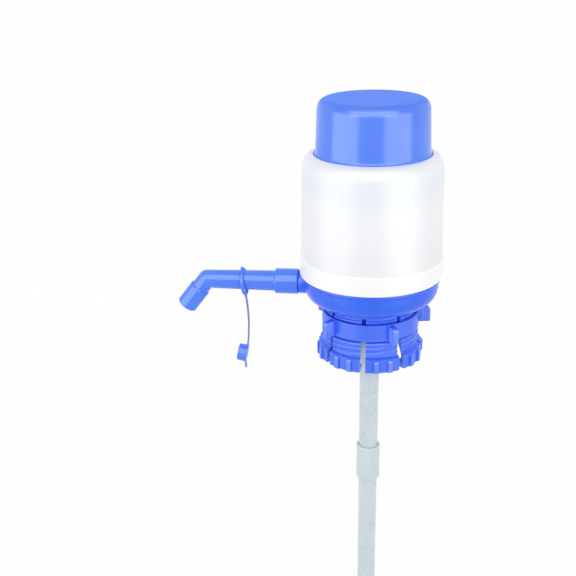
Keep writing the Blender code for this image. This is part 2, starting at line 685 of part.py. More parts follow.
def make_neck_collet():
    collet = piece("neck_collet", turned(collet_outline(), LARGE_STEPS), BODY_BLUE)
    pitch_deg = 360 / FINGER_COUNT
    tooth_deg = pitch_deg / (TEETH_PER_FINGER + 1)
    tooth_top_z = COLLET_RIM_TOP_Z - TOOTH_DROP
    tooth_root = COLLET_RIM_RADIUS - JOIN_OVERLAP
    tooth_crest = COLLET_RIM_RADIUS + TOOTH_HEIGHT

    def tooth():
        outline = [
            (tooth_root, tooth_top_z),
            (tooth_crest - COLLET_EDGE, tooth_top_z),
            (tooth_crest, tooth_top_z - TOOTH_HEIGHT),
            (tooth_crest, -COLLET_DEPTH + COLLET_EDGE),
            (tooth_crest - COLLET_EDGE, -COLLET_DEPTH),
            (tooth_root, -COLLET_DEPTH + COLLET_EDGE),
        ]
        return extruded(outline, TOOTH_WIDTH)

    def finger_teeth():
        first = -(TEETH_PER_FINGER - 1) / 2
        teeth = []
        for index in range(TEETH_PER_FINGER):
            turn = Matrix.Rotation(math.radians((first + index) * tooth_deg), 4, "Z")
            teeth.append(moved(tooth(), turn))
        return merged(teeth)

    first_finger_deg = FIRST_SLOT_DEG - 90 + pitch_deg / 2
    join(collet, around(finger_teeth, FINGER_COUNT, first_finger_deg), "teeth")

    # Each slot is a wedge, widest at the rim, that stops a little below the bowl
    slot_inner = NECK_RADIUS - CUT_OVERRUN
    slot_outer = COLLET_RIM_RADIUS + TOOTH_HEIGHT + CUT_OVERRUN
    slot_top_z = BOWL_UNDERSIDE_Z - SLOT_HEAD
    slot_bottom_z = -COLLET_DEPTH - CUT_OVERRUN

    def slot():
        sections = []
        for x in (slot_inner, slot_outer):
            sections.append(
                [
                    Vector((x, -SLOT_TOP_WIDTH / 2, slot_top_z)),
                    Vector((x, SLOT_TOP_WIDTH / 2, slot_top_z)),
                    Vector((x, SLOT_RIM_WIDTH / 2, slot_bottom_z)),
                    Vector((x, -SLOT_RIM_WIDTH / 2, slot_bottom_z)),
                ]
            )
        return swept(sections)

    cut(collet, around(slot, FINGER_COUNT, FIRST_SLOT_DEG - 90), "slots")


def make_clamp_ring():
    axis = joint_empty("clamp_ring_axis", (0, 0, CLAMP_BOTTOM_Z))
    top_z = CLAMP_BOTTOM_Z + CLAMP_HEIGHT
    ring = [
        (CLAMP_BORE_RADIUS, top_z),
        (CLAMP_RADIUS - CLAMP_EDGE, top_z),
        (CLAMP_RADIUS, top_z - CLAMP_EDGE),
        (CLAMP_RADIUS, CLAMP_BOTTOM_Z + CLAMP_EDGE),
        (CLAMP_RADIUS - CLAMP_EDGE, CLAMP_BOTTOM_Z),
        (CLAMP_BORE_RADIUS, CLAMP_BOTTOM_Z),
    ]
    clamp = piece("clamp_ring", turned(ring, LARGE_STEPS), CLAMP_BLUE, axis)
    lug_root = CLAMP_RADIUS - CLAMP_WALL / 2
    lug_end = CLAMP_RADIUS + LUG_REACH

    def lug():
        low = CLAMP_BOTTOM_Z + CLAMP_EDGE
        high = top_z - CLAMP_EDGE
        corner = arc((lug_end - LUG_CORNER, high - LUG_CORNER), (LUG_CORNER, LUG_CORNER), 90, 0)
        outline = [
            (lug_root, high),
            *corner,
            (lug_end, low + CLAMP_EDGE),
            (lug_end - CLAMP_EDGE, low),
            (lug_root, low),
        ]
        return extruded(outline, LUG_THICKNESS)

    join(clamp, around(lug, LUG_COUNT, FIRST_LUG_DEG - 90), "lugs")


def make_neck_gasket():
    outline = [
        (GASKET_INNER_RADIUS, GASKET_THICKNESS),
        (GASKET_OUTER_RADIUS, GASKET_THICKNESS),
        (GASKET_OUTER_RADIUS, 0),
        (GASKET_INNER_RADIUS, 0),
    ]
    piece("neck_gasket", turned(outline, BELLOWS_STEPS), RUBBER_CLEAR)


def tube_top_z(index):
    """The height of the top of a tube length: each one starts under the last one's stop."""
    first = FLOOR_UNDERSIDE_Z - FIT_GAP
    return first - index * (TUBE_LENGTH + COUPLER_STOP + 2 * FIT_GAP)


def make_dip_tube():
    names = ("dip_tube_upper", "dip_tube_middle", "dip_tube_lower")
    for index, name in enumerate(names):
        top_z = tube_top_z(index)
        outline = [
            (TUBE_BORE_RADIUS, top_z),
            (TUBE_RADIUS, top_z),
            (TUBE_RADIUS, top_z - TUBE_LENGTH),
            (TUBE_BORE_RADIUS, top_z - TUBE_LENGTH),
        ]
        tube = piece(name, turned(outline, TUBE_STEPS), TUBE_WHITE)

    # The last length has notches, so that it can stand on the bottle's floor and still draw
    end_z = tube_top_z(len(names) - 1) - TUBE_LENGTH
    reach = TUBE_RADIUS + CUT_OVERRUN
    half_width = INTAKE_NOTCH_WIDTH / 2

    def notch():
        low = (-reach, -half_width, end_z - CUT_OVERRUN)
        high = (reach, half_width, end_z + INTAKE_NOTCH_HEIGHT)
        return block(low, high)

    for index in range(INTAKE_NOTCH_COUNT):
        turn = Matrix.Rotation(math.pi * index / INTAKE_NOTCH_COUNT, 4, "Z")
        cut(tube, moved(notch(), turn), f"notch_{index + 1}")


def make_couplers():
    """A sleeve over each joint of the dip tube, with a stop ring between the two ends."""
    for index, name in enumerate(("tube_coupler_upper", "tube_coupler_lower")):
        stop_top_z = tube_top_z(index) - TUBE_LENGTH - FIT_GAP
        stop_z = stop_top_z - COUPLER_STOP
        top_z = stop_top_z - COUPLER_STOP / 2 + COUPLER_LENGTH / 2
        bottom_z = top_z - COUPLER_LENGTH
        outer = TUBE_SEAT_RADIUS + COUPLER_WALL
        outline = [
            (TUBE_SEAT_RADIUS, top_z),
            (outer - COUPLER_CHAMFER, top_z),
            (outer, top_z - COUPLER_CHAMFER),
            (outer, bottom_z + COUPLER_CHAMFER),
            (outer - COUPLER_CHAMFER, bottom_z),
            (TUBE_SEAT_RADIUS, bottom_z),
            (TUBE_SEAT_RADIUS, stop_z),
            (TUBE_BORE_RADIUS, stop_z),
            (TUBE_BORE_RADIUS, stop_top_z),
            (TUBE_SEAT_RADIUS, stop_top_z),
        ]
        piece(name, turned(outline, TUBE_STEPS), TUBE_WHITE)


def valve_holes(low, high, x):
    """The cutter for one valve seat: a stem hole with small air holes round it."""

    def air_hole():
        hole = rod(VALVE_HOLE_RADIUS, low, high)
        return moved(hole, Matrix.Translation((VALVE_HOLE_CIRCLE, 0, 0)))

    holes = merged([around(air_hole, VALVE_HOLE_COUNT), rod(VALVE_HOLE_STEM_RADIUS, low, high)])
    return moved(holes, Matrix.Translation((x, 0, 0)))


def make_valve_flap(name, seat_z, plate_thickness, x, parent):
    """A rubber mushroom: disc under the plate, stem through it, and a barb that limits the lift."""
    disc_top_z = seat_z - FIT_GAP
    disc_z = disc_top_z - VALVE_DISC_THICKNESS
    barb_z = seat_z + plate_thickness + VALVE_LIFT + FIT_GAP
    barb_top_z = barb_z + VALVE_BARB_HEIGHT
    outline = [
        (0, barb_top_z),
        (VALVE_STEM_RADIUS, barb_top_z),
        (VALVE_BARB_RADIUS, barb_z),
        (VALVE_STEM_RADIUS, barb_z),
        (VALVE_STEM_RADIUS, disc_top_z),
        (VALVE_DISC_RADIUS, disc_top_z),
        (VALVE_DISC_RADIUS, disc_z + VALVE_DISC_THICKNESS / 2),
        (VALVE_STEM_RADIUS, disc_z),
        (0, disc_z),
    ]
    axis = joint_empty(f"{name}_axis", Vector((x, 0, seat_z)) - world_origin(parent))
    axis.parent = parent
    flap = moved(turned(outline, SMALL_STEPS), Matrix.Translation((x, 0, 0)))
    piece(name, flap, RUBBER_GREY, axis)


def make_deck():
    gasket_z = LEDGE_Z + FIT_GAP
    gasket = [
        (DECK_RADIUS - DECK_GASKET_WIDTH, gasket_z + DECK_GASKET_THICKNESS),
        (DECK_RADIUS, gasket_z + DECK_GASKET_THICKNESS),
        (DECK_RADIUS, gasket_z),
        (DECK_RADIUS - DECK_GASKET_WIDTH, gasket_z),
    ]
    piece("deck_gasket", turned(gasket, BELLOWS_STEPS), RUBBER_GREY)

    ring_outer = DECK_RING_RADIUS + DECK_RING_WALL
    ring_top_z = DECK_TOP_Z + DECK_RING_HEIGHT
    outline = [
        (0, DECK_TOP_Z),
        (DECK_RING_RADIUS, DECK_TOP_Z),
        (DECK_RING_RADIUS, ring_top_z),
        (ring_outer, ring_top_z),
        (ring_outer, DECK_TOP_Z),
        (DECK_RADIUS, DECK_TOP_Z),
        (DECK_RADIUS, DECK_Z),
        (0, DECK_Z),
    ]
    deck = piece("valve_deck", turned(outline, LARGE_STEPS), INNER_WHITE)
    holes = valve_holes(DECK_Z - CUT_OVERRUN, DECK_TOP_Z + CUT_OVERRUN, OUTLET_VALVE_OFFSET)
    cut(deck, holes, "outlet_holes")
    make_valve_flap("outlet_valve_flap", DECK_Z, DECK_THICKNESS, OUTLET_VALVE_OFFSET, None)


def make_retainer():
    press_z = BELLOWS_FOOT_Z + BELLOWS_FLANGE + FIT_GAP
    ring_top_z = DECK_TOP_Z + DECK_RING_HEIGHT
    under_z = ring_top_z + FIT_GAP
    top_z = under_z + RETAINER_TOP
    bore = BELLOWS_ROOT_RADIUS + RETAINER_BORE_GAP
    press_outer = DECK_RING_RADIUS - FIT_GAP
    skirt_inner = DECK_RING_RADIUS + DECK_RING_WALL + FIT_GAP
    outer = skirt_inner + RETAINER_WALL
    outline = [
        (bore, top_z),
        (outer, top_z),
        (outer, DECK_TOP_Z + RETAINER_DECK_GAP),
        (skirt_inner, DECK_TOP_Z + RETAINER_DECK_GAP),
        (skirt_inner, under_z),
        (press_outer, under_z),
        (press_outer, press_z),
        (press_outer - RETAINER_PRESS_WIDTH, press_z),
        (press_outer - RETAINER_PRESS_WIDTH, under_z),
        (bore, under_z),
    ]
    piece("bellows_retainer", turned(outline, LARGE_STEPS), INNER_WHITE)


def bellows_outline():
    """Foot flange, neck, V folds and top flange, out and back at one wall's thickness."""
    fold_low = BELLOWS_FOOT_Z + BELLOWS_NECK
    fold_high = BELLOWS_TOP_Z - BELLOWS_FLANGE
    pitch = (fold_high - fold_low) / FOLD_COUNT
    crest_inner = BELLOWS_CREST_RADIUS - BELLOWS_WALL
    root_inner = BELLOWS_ROOT_RADIUS - BELLOWS_WALL
    outside = []
    inside = []
    for index in range(FOLD_COUNT):
        crest_z = fold_low + pitch * (index + 0.5)
        root_z = fold_low + pitch * (index + 1)
        outside.append((BELLOWS_CREST_RADIUS, crest_z))
        inside.append((crest_inner, crest_z))
        if index < FOLD_COUNT - 1:
            outside.append((BELLOWS_ROOT_RADIUS, root_z))
            inside.append((root_inner, root_z))
    top = [
        (PLATE_RADIUS - BELLOWS_FLANGE, fold_high),
        (PLATE_RADIUS, fold_high + BELLOWS_FLANGE / 2),
        (PLATE_RADIUS, BELLOWS_TOP_Z),
        (BELLOWS_MOUTH_RADIUS, BELLOWS_TOP_Z),
        (BELLOWS_MOUTH_RADIUS, fold_high),
    ]
    foot = [
        (BELLOWS_MOUTH_RADIUS, BELLOWS_FOOT_Z + BELLOWS_FLANGE),
        (BELLOWS_MOUTH_RADIUS, BELLOWS_FOOT_Z),
        (BELLOWS_FOOT_RADIUS, BELLOWS_FOOT_Z),
        (BELLOWS_FOOT_RADIUS, BELLOWS_FOOT_Z + BELLOWS_FLANGE),
        (BELLOWS_ROOT_RADIUS, BELLOWS_FOOT_Z + BELLOWS_FLANGE),
        (BELLOWS_ROOT_RADIUS, fold_low),
    ]
    neck = [(root_inner, fold_low), (root_inner, BELLOWS_FOOT_Z + BELLOWS_FLANGE)]
    return foot + outside + top + inside[::-1] + neck


def make_bellows(parent):
    piece("bellows", turned(bellows_outline(), BELLOWS_STEPS), INNER_WHITE, parent)


def housing_shoulder(inset):
    """The rounded shoulder as (centre, reach), drawn in by a wall or a gap."""
    centre = (HOUSING_MOUTH_RADIUS, HOUSING_MOUTH_Z - SHOULDER_HEIGHT)
    reach = (HOUSING_TOP_RADIUS - HOUSING_MOUTH_RADIUS - inset, SHOULDER_HEIGHT - inset)
    return centre, reach


def make_housing():
    band_top_z = BAND_BOTTOM_Z + BAND_HEIGHT
    bore_foot = SPIGOT_RADIUS + FIT_GAP
    bore_step_z = SPIGOT_TOP_Z + FIT_GAP
    outer_centre, outer_reach = housing_shoulder(0)
    inner_centre, inner_reach = housing_shoulder(HOUSING_WALL)
    outside = arc(outer_centre, outer_reach, 90, 0, ARC_STEPS + 2)
    inside = arc(inner_centre, inner_reach, 0, 90)
    outline = [
        *outside,
        (HOUSING_FOOT_RADIUS, band_top_z),
        (BAND_RADIUS - BAND_EDGE, band_top_z),
        (BAND_RADIUS, band_top_z - BAND_EDGE),
        (BAND_RADIUS, BAND_BOTTOM_Z + BAND_EDGE),
        (BAND_RADIUS - BAND_EDGE, BAND_BOTTOM_Z),
        (bore_foot, BAND_BOTTOM_Z),
        (bore_foot, bore_step_z),
        (HOUSING_FOOT_RADIUS - HOUSING_WALL, bore_step_z + SPIGOT_COVER),
        *inside,
    ]
    piece("housing", turned(outline, LARGE_STEPS), SHELL_WHITE)


def cap_outline():
    """The cap's section: top, flared side, flange under the shoulder, and the skirt that guides it."""
    corner_centre = (CAP_TOP_RADIUS - CAP_CORNER, CAP_TOP_Z - CAP_CORNER)
    corner = arc(corner_centre, (CAP_CORNER, CAP_CORNER), 90, 0)
    flare_radius = HOUSING_MOUTH_RADIUS - CAP_FLARE_GAP
    flare_top_z = HOUSING_MOUTH_Z + CAP_FLARE_HEIGHT
    flare_centre = (flare_radius, flare_top_z)
    flare = arc(flare_centre, (CAP_FOOT_RADIUS - flare_radius, -CAP_FLARE_HEIGHT), 0, 90)
    flare[-1] = (flare_radius, HOUSING_MOUTH_Z - CAP_FLARE_GAP)
    flange_centre, flange_reach = housing_shoulder(HOUSING_WALL + CAP_FLARE_GAP)
    nest = arc(flange_centre, flange_reach, 90, 0)
    flange_radius = flange_centre[0] + flange_reach[0]
    skirt_z = flange_centre[1] + flange_reach[1] - CAP_SKIRT_HEIGHT
    inner_top_z = CAP_TOP_Z - CAP_TOP_THICKNESS
    inner_corner = CAP_CORNER - CAP_WALL
    inner_reach = (inner_corner, inner_corner)
    inner_centre = (corner_centre[0], inner_top_z - inner_corner)
    inside = arc(inner_centre, inner_reach, 0, 90)
    return [
        (0, CAP_TOP_Z),
        *corner,
        *flare,
        *nest,
        (flange_radius, skirt_z),
        (flange_radius - CAP_WALL, skirt_z),
        (CAP_FOOT_RADIUS, flange_centre[1]),
        (CAP_FOOT_RADIUS - CAP_WALL, flare_top_z),
        *inside,
        (0, inner_top_z),
    ]


def make_cap():
    axis = joint_empty("press_cap_axis", (0, 0, HOUSING_MOUTH_Z))
    cap = piece("press_cap", turned(cap_outline(), LARGE_STEPS), CAP_BLUE, axis)
    rib_top_z = CAP_TOP_Z - CAP_TOP_THICKNESS + JOIN_OVERLAP
    rib_bottom_z = CAP_TOP_Z - CAP_TOP_THICKNESS - CAP_RIB_DEPTH
    rib_end = CAP_TOP_RADIUS - CAP_WALL - CAP_RIB_END_GAP

    def rib():
        low = (CAP_RIB_START, -CAP_RIB_THICKNESS / 2, rib_bottom_z)
        high = (rib_end, CAP_RIB_THICKNESS / 2, rib_top_z)
        return block(low, high)

    join(cap, around(rib, CAP_RIB_COUNT), "ribs")
    return axis


def make_top_plate(parent):
    spigot_outer = BELLOWS_MOUTH_RADIUS - FIT_GAP
    spigot_inner = spigot_outer - PLATE_SPIGOT_WALL
    spigot_z = PLATE_Z - PLATE_SPIGOT_HEIGHT
    outline = [
        (0, PLATE_TOP_Z),
        (PLATE_RADIUS, PLATE_TOP_Z),
        (PLATE_RADIUS, PLATE_Z),
        (spigot_outer, PLATE_Z),
        (spigot_outer, spigot_z),
        (spigot_inner, spigot_z),
        (spigot_inner, PLATE_Z),
        (0, PLATE_Z),
    ]
    plate = piece("bellows_top_plate", turned(outline, BELLOWS_STEPS), INNER_WHITE, parent)
    cut(plate, valve_holes(PLATE_Z - CUT_OVERRUN, PLATE_TOP_Z + CUT_OVERRUN, 0), "inlet_holes")
    make_valve_flap("inlet_valve_flap", PLATE_Z, PLATE_THICKNESS, 0, parent)


def pipe_radius(distance):
    """The pipe's outer radius between its socket and its bend: it tapers as a moulded pipe does."""
    share = (distance - SOCKET_END) / (BEND_DISTANCE - SOCKET_END)
    return PIPE_ROOT_RADIUS + (PIPE_END_RADIUS - PIPE_ROOT_RADIUS) * share


def dipped(dip):
    """Which way the spout runs, and which way is its upper side, at a dip in radians."""
    along = Vector((-math.cos(dip), 0, -math.sin(dip)))
    return along, Vector((-math.sin(dip), 0, math.cos(dip)))


def ring_turns():
    return [math.tau * step / TUBE_STEPS for step in range(TUBE_STEPS)]


def straight_ring(place, dip_deg, radius):
    """A circle of points square to one of the spout's two straight legs."""
    upper = dipped(math.radians(dip_deg))[1]
    side = Vector((0, 1, 0))
    return [place + (upper * math.cos(turn) + side * math.sin(turn)) * radius for turn in ring_turns()]


def bend_ring(share, radius):
    """A ring in the bend: each line along the pipe turns on its own arc, wide outside, tight inside."""
    bend = math.radians(BEND_DEG)
    start_along, start_upper = dipped(0)
    end_upper = dipped(bend)[1]
    upper = dipped(bend * share)[1]
    corner_way = (start_upper + end_upper) / (1 + math.cos(bend))
    ring = []
    for turn in ring_turns():
        outward = radius * math.cos(turn)
        curl = BEND_INNER_CURL + (BEND_OUTER_CURL - BEND_INNER_CURL) * (1 + math.cos(turn)) / 2
        corner = BEND_POINT + corner_way * outward
        centre = corner - start_along * curl * math.tan(bend / 2) - start_upper * curl
        ring.append(centre + upper * curl + Vector((0, radius * math.sin(turn), 0)))
    return ring


def bend_rings(radius):
    return [bend_ring(step / BEND_STEPS, radius) for step in range(BEND_STEPS + 1)]


def first_leg(distance, radius):
    """A ring on the level leg, at a distance from the pump's axis."""
    return straight_ring(Vector((-distance, 0, SPOUT_AXIS_Z)), 0, radius)


def second_leg(travel, radius):
    """A ring on the sloping leg, at a travel past the bend's point."""
    return straight_ring(BEND_POINT + NOZZLE_DIRECTION * travel, BEND_DEG, radius)


def make_spout_pipe(axis):
    spigot_end = NOZZLE_START + NOZZLE_OVERLAP
    rings = [
        first_leg(SOCKET_START, SOCKET_RADIUS - SOCKET_EDGE),
        first_leg(SOCKET_START + SOCKET_EDGE, SOCKET_RADIUS),
        first_leg(SOCKET_END - SOCKET_EDGE, SOCKET_RADIUS),
        first_leg(SOCKET_END, SOCKET_RADIUS - SOCKET_EDGE),
        first_leg(SOCKET_END, PIPE_ROOT_RADIUS),
        *bend_rings(PIPE_END_RADIUS),
        second_leg(NOZZLE_START - FIT_GAP, PIPE_END_RADIUS),
        second_leg(NOZZLE_START - FIT_GAP, PIPE_SPIGOT_RADIUS),
        second_leg(spigot_end, PIPE_SPIGOT_RADIUS),
        second_leg(spigot_end, PIPE_BORE_RADIUS),
        *reversed(bend_rings(PIPE_BORE_RADIUS)),
        first_leg(SOCKET_START + SOCKET_DEPTH, PIPE_BORE_RADIUS),
        first_leg(SOCKET_START + SOCKET_DEPTH, SOCKET_BORE_RADIUS),
        first_leg(SOCKET_START, SOCKET_BORE_RADIUS),
    ]
    mesh = bmesh.new()
    skin(mesh, rings)
    piece("spout_pipe", mesh, BODY_BLUE, axis)


def make_nozzle_tip(axis):
    bore = PIPE_SPIGOT_RADIUS + FIT_GAP
    mouth = bore + NOZZLE_MOUTH_STEP
    stop_start = NOZZLE_START + NOZZLE_OVERLAP + FIT_GAP
    stop_end = stop_start + NOZZLE_STOP
    end = NOZZLE_START + NOZZLE_LENGTH
    outer = bore + NOZZLE_WALL
    outline = [
        (outer - NOZZLE_EDGE, end),
        (outer, end - NOZZLE_EDGE),
        (outer, NOZZLE_START + NOZZLE_EDGE),
        (outer - NOZZLE_EDGE, NOZZLE_START),
        (bore, NOZZLE_START),
        (bore, stop_start),
        (PIPE_BORE_RADIUS, stop_start),
        (PIPE_BORE_RADIUS, stop_end),
        (mouth, stop_end),
        (mouth, end),
    ]
    mesh = moved(turned(outline, TUBE_STEPS), towards(NOZZLE_DIRECTION, BEND_POINT))
    piece("nozzle_tip", mesh, BODY_BLUE, axis)


def make_o_ring():
    middle = SOCKET_BORE_RADIUS - ORING_GAP - ORING_SECTION_RADIUS
    outline = []
    for step in range(ORING_STEPS):
        angle = -math.tau * step / ORING_STEPS
        radius = middle + ORING_SECTION_RADIUS * math.cos(angle)
        outline.append((radius, ORING_DISTANCE + ORING_SECTION_RADIUS * math.sin(angle)))
    piece("spout_o_ring", laid_along_spout(turned(outline, TUBE_STEPS)), RUBBER_GREY)


def strap_x(drop):
    """The strap hangs in a shallow bow: its place along the pipe, at a drop below the pipe's axis."""
    apex = -LOOP_DISTANCE + STRAP_APEX_SHIFT
    return apex - (drop - STRAP_APEX_DROP) ** 2 / (2 * STRAP_CURL_RADIUS)


def strap_lean(drop):
    """The strap's slope from the vertical at that drop, in radians."""
    return math.atan((drop - STRAP_APEX_DROP) / STRAP_CURL_RADIUS)


def make_dust_cap(spout_axis):
    place = Vector((-LOOP_DISTANCE, 0, SPOUT_AXIS_Z))
    axis = joint_empty("dust_cap_axis", place - world_origin(spout_axis))
    axis.parent = spout_axis
    lean = math.radians(LOOP_LEAN_DEG)
    pipe_outer = pipe_radius(LOOP_DISTANCE - LOOP_WIDTH / 2)
    loop_inner = pipe_outer / math.cos(lean) + LOOP_WIDTH / 2 * math.tan(lean) + FIT_GAP + LOOP_SLACK
    loop_outer = loop_inner + LOOP_WALL
    half = LOOP_WIDTH / 2
    loop = [(loop_inner, half), (loop_outer, half), (loop_outer, -half), (loop_inner, -half)]
    loop_way = Vector((-math.cos(lean), 0, -math.sin(lean)))
    loop_centre = place - Vector((0, 0, LOOP_SLACK))
    loop_mesh = moved(turned(loop, TUBE_STEPS), towards(loop_way, loop_centre))
    cap = piece("dust_cap", loop_mesh, STRAP_BLUE, axis)

    # The strap runs from inside the loop's wall to the middle of the plug's plate
    first = LOOP_SLACK + loop_inner + LOOP_WALL / 2
    sections = []
    for step in range(STRAP_STEPS + 1):
        drop = first + (PLUG_DROP - first) * step / STRAP_STEPS
        lean = strap_lean(drop)
        across = Vector((math.cos(lean), 0, -math.sin(lean))) * STRAP_THICKNESS / 2
        side = Vector((0, STRAP_WIDTH / 2, 0))
        middle = Vector((strap_x(drop), 0, SPOUT_AXIS_Z - drop))
        corners = [middle - across - side, middle + across - side]
        corners += [middle + across + side, middle - across + side]
        sections.append(corners)
    join(cap, swept(sections), "strap")

    # The plate and the hollow plug stand square to the strap's end, open towards the spout's bend
    lean = strap_lean(PLUG_DROP)
    outward = Vector((-math.cos(lean), 0, math.sin(lean)))
    centre = Vector((strap_x(PLUG_DROP), 0, SPOUT_AXIS_Z - PLUG_DROP))
    plate_half = STRAP_THICKNESS / 2 + PLUG_TAPER
    plug_end = plate_half + PLUG_LENGTH
    plug = [
        (0, -plate_half),
        (PLUG_PLATE_RADIUS, -plate_half),
        (PLUG_PLATE_RADIUS, plate_half),
        (PLUG_RADIUS, plate_half),
        (PLUG_RADIUS - PLUG_TAPER, plug_end),
        (PLUG_RADIUS - PLUG_WALL, plug_end),
        (PLUG_RADIUS - PLUG_WALL, plate_half),
        (0, plate_half),
    ]
    join(cap, moved(turned(plug, TUBE_STEPS), towards(outward, centre)), "plug")

    # The pull tab hangs from the plate's lower edge
    tab_start = PLUG_PLATE_RADIUS - JOIN_OVERLAP
    tab_end = PLUG_PLATE_RADIUS + TAB_LENGTH
    half = STRAP_THICKNESS / 2
    tab = block((-half, -STRAP_WIDTH / 2, -tab_end), (half, STRAP_WIDTH / 2, -tab_start))
    hang = Matrix.Translation(centre) @ Matrix.Rotation(lean, 4, "Y")
    hinge = Matrix.Translation((0, 0, -tab_start))
    tilt = hinge @ Matrix.Rotation(math.radians(TAB_TILT_DEG), 4, "Y") @ hinge.inverted()
    join(cap, moved(tab, hang @ tilt), "pull_tab")


def make_spout():
    axis = joint_empty("spout_axis", (-SOCKET_START, 0, SPOUT_AXIS_Z))
    make_spout_pipe(axis)
    make_nozzle_tip(axis)
    make_dust_cap(axis)


def main():
    clear_scene()
    make_base_bowl()
    make_neck_collet()
    make_clamp_ring()
    make_neck_gasket()
    make_dip_tube()
    make_couplers()
    make_deck()
    make_retainer()
    make_housing()
    cap_axis = make_cap()
    make_bellows(cap_axis)
    make_top_plate(cap_axis)
    make_o_ring()
    make_spout()


main()
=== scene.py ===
# %% [markdown]
# A press-top water pump, dressed for a close look.
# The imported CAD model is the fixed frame: it says where each piece sits and what moves.
# Every piece that the eye can reach is made again here as a finer mesh in the same place, with the
# rounded edges, thread, grooves and moulded finish that the plain solids leave out.

# %% Load the frame
import math

import bmesh
import bpy
from mathutils import Matrix, Vector


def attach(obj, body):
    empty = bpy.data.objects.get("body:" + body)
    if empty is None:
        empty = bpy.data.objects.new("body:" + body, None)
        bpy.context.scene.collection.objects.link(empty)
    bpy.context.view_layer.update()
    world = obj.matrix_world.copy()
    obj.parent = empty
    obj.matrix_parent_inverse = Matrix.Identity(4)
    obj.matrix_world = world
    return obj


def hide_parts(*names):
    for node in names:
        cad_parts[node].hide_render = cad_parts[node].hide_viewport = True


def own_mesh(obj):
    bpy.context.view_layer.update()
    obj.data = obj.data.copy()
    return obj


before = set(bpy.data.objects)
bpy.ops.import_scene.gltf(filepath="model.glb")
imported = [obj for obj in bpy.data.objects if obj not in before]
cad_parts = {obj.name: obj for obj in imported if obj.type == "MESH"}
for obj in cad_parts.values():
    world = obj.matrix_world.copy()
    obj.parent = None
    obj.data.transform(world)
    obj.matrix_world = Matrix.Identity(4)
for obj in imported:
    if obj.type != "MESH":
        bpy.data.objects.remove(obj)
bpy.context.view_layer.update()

# %% [markdown]
# Blender works in metres, and a moulded part is drawn in millimetres, so every outline below is in
# millimetres and is turned to metres in one place.
# Nearly every piece of this pump is turned, as on a lathe: an outline of (radius, height) points
# goes round the pump's axis. A sharp corner is what gives a stand-in away, because moulded plastic
# always has a small radius that catches the light. So an outline's corner may carry a third number,
# its radius, and `rounded` puts an arc there, with a point just before and after it that keeps the
# flats beside the arc flat in the shading.

# %% Outlines with rounded corners
MM = 0.001
CORNER_STEPS = 5
HOLD = 0.3
SHORTEST = 0.02


def corner_sides(outline, index):
    """A corner's two neighbours as seen from it."""
    here = Vector(outline[index][:2])
    return [Vector(outline[other % len(outline)][:2]) - here for other in (index - 1, index + 1)]


def corner_reach(outline, index, closed):
    """How far a corner's arc runs along its two sides, or 0 for a sharp corner."""
    ends = not closed and index in (0, len(outline) - 1)
    if len(outline[index]) < 3 or ends:
        return 0
    before, after = corner_sides(outline, index)
    return outline[index][2] / math.tan(before.angle(after) / 2)


def rounded(outline, closed=True):
    """(radius, height, corner) points to plain points, with an arc at each corner that has a radius."""
    reaches = [corner_reach(outline, index, closed) for index in range(len(outline))]
    points = []
    for index, corner in enumerate(outline):
        here = Vector(corner[:2])
        reach = reaches[index]
        if reach == 0:
            points.append(here)
            continue
        sides = corner_sides(outline, index)
        way_in, way_out = [side.normalized() for side in sides]
        others = (reaches[index - 1], reaches[(index + 1) % len(outline)])
        free = [side.length - reach - other for side, other in zip(sides, others)]
        if min(free) < 0:
            raise ValueError(f"the corner at {corner} is too round for its sides")
        holds = [min(HOLD, length / 3) for length in free]
        half = sides[0].angle(sides[1]) / 2
        centre = here + (way_in + way_out).normalized() * corner[2] / math.sin(half)
        first = here + way_in * reach - centre
        last = here + way_out * reach - centre
        sweep = first.angle(last)
        if holds[0] > SHORTEST:
            points.append(here + way_in * (reach + holds[0]))
        for step in range(CORNER_STEPS + 1):
            share = step / CORNER_STEPS
            mix = first * math.sin((1 - share) * sweep) + last * math.sin(share * sweep)
            points.append(centre + mix / math.sin(sweep))
        if holds[1] > SHORTEST:
            points.append(here + way_out * (reach + holds[1]))
    return points


print("each rounded corner gets", CORNER_STEPS + 1, "points on its arc")


# %% [markdown]
# A long round stretch, such as the bowl's side or the housing's shoulder, is too big for a corner. It
# is written as a part of an ellipse. A moulded bowl is often a little fuller than an ellipse, between
# that and a box, and raising the sine and the cosine to a power under 1 gives just that.

# %% Round stretches
def swelled(value, fullness):
    """A sine or a cosine drawn out towards 1, or towards -1."""
    return math.copysign(abs(value) ** fullness, value)


def curve(centre, reach, start_deg, end_deg, steps=14, fullness=1):
    """Points on a part of an ellipse. A fullness under 1 swells it towards a box."""
    points = []
    for step in range(steps + 1):
        turn = math.radians(start_deg + (end_deg - start_deg) * step / steps)
        across, along = swelled(math.cos(turn), fullness), swelled(math.sin(turn), fullness)
        points.append((centre[0] + reach[0] * across, centre[1] + reach[1] * along))
    return points


print("a round stretch has", len(curve((0, 0), (1, 1), 0, 90)), "points unless it asks for others")


# %% [markdown]
# A mesh could be made with Blender's modelling tools, one click at a time. Here it is a skin through
# rings of points, because a turned piece, a swept strap and a collet's finger are all rings in a row,
# and a change of one number then makes the whole piece again.

# %% Skins through rings of points
LARGE_STEPS = 160
SMALL_STEPS = 64
AXIS_RADIUS = 1e-6


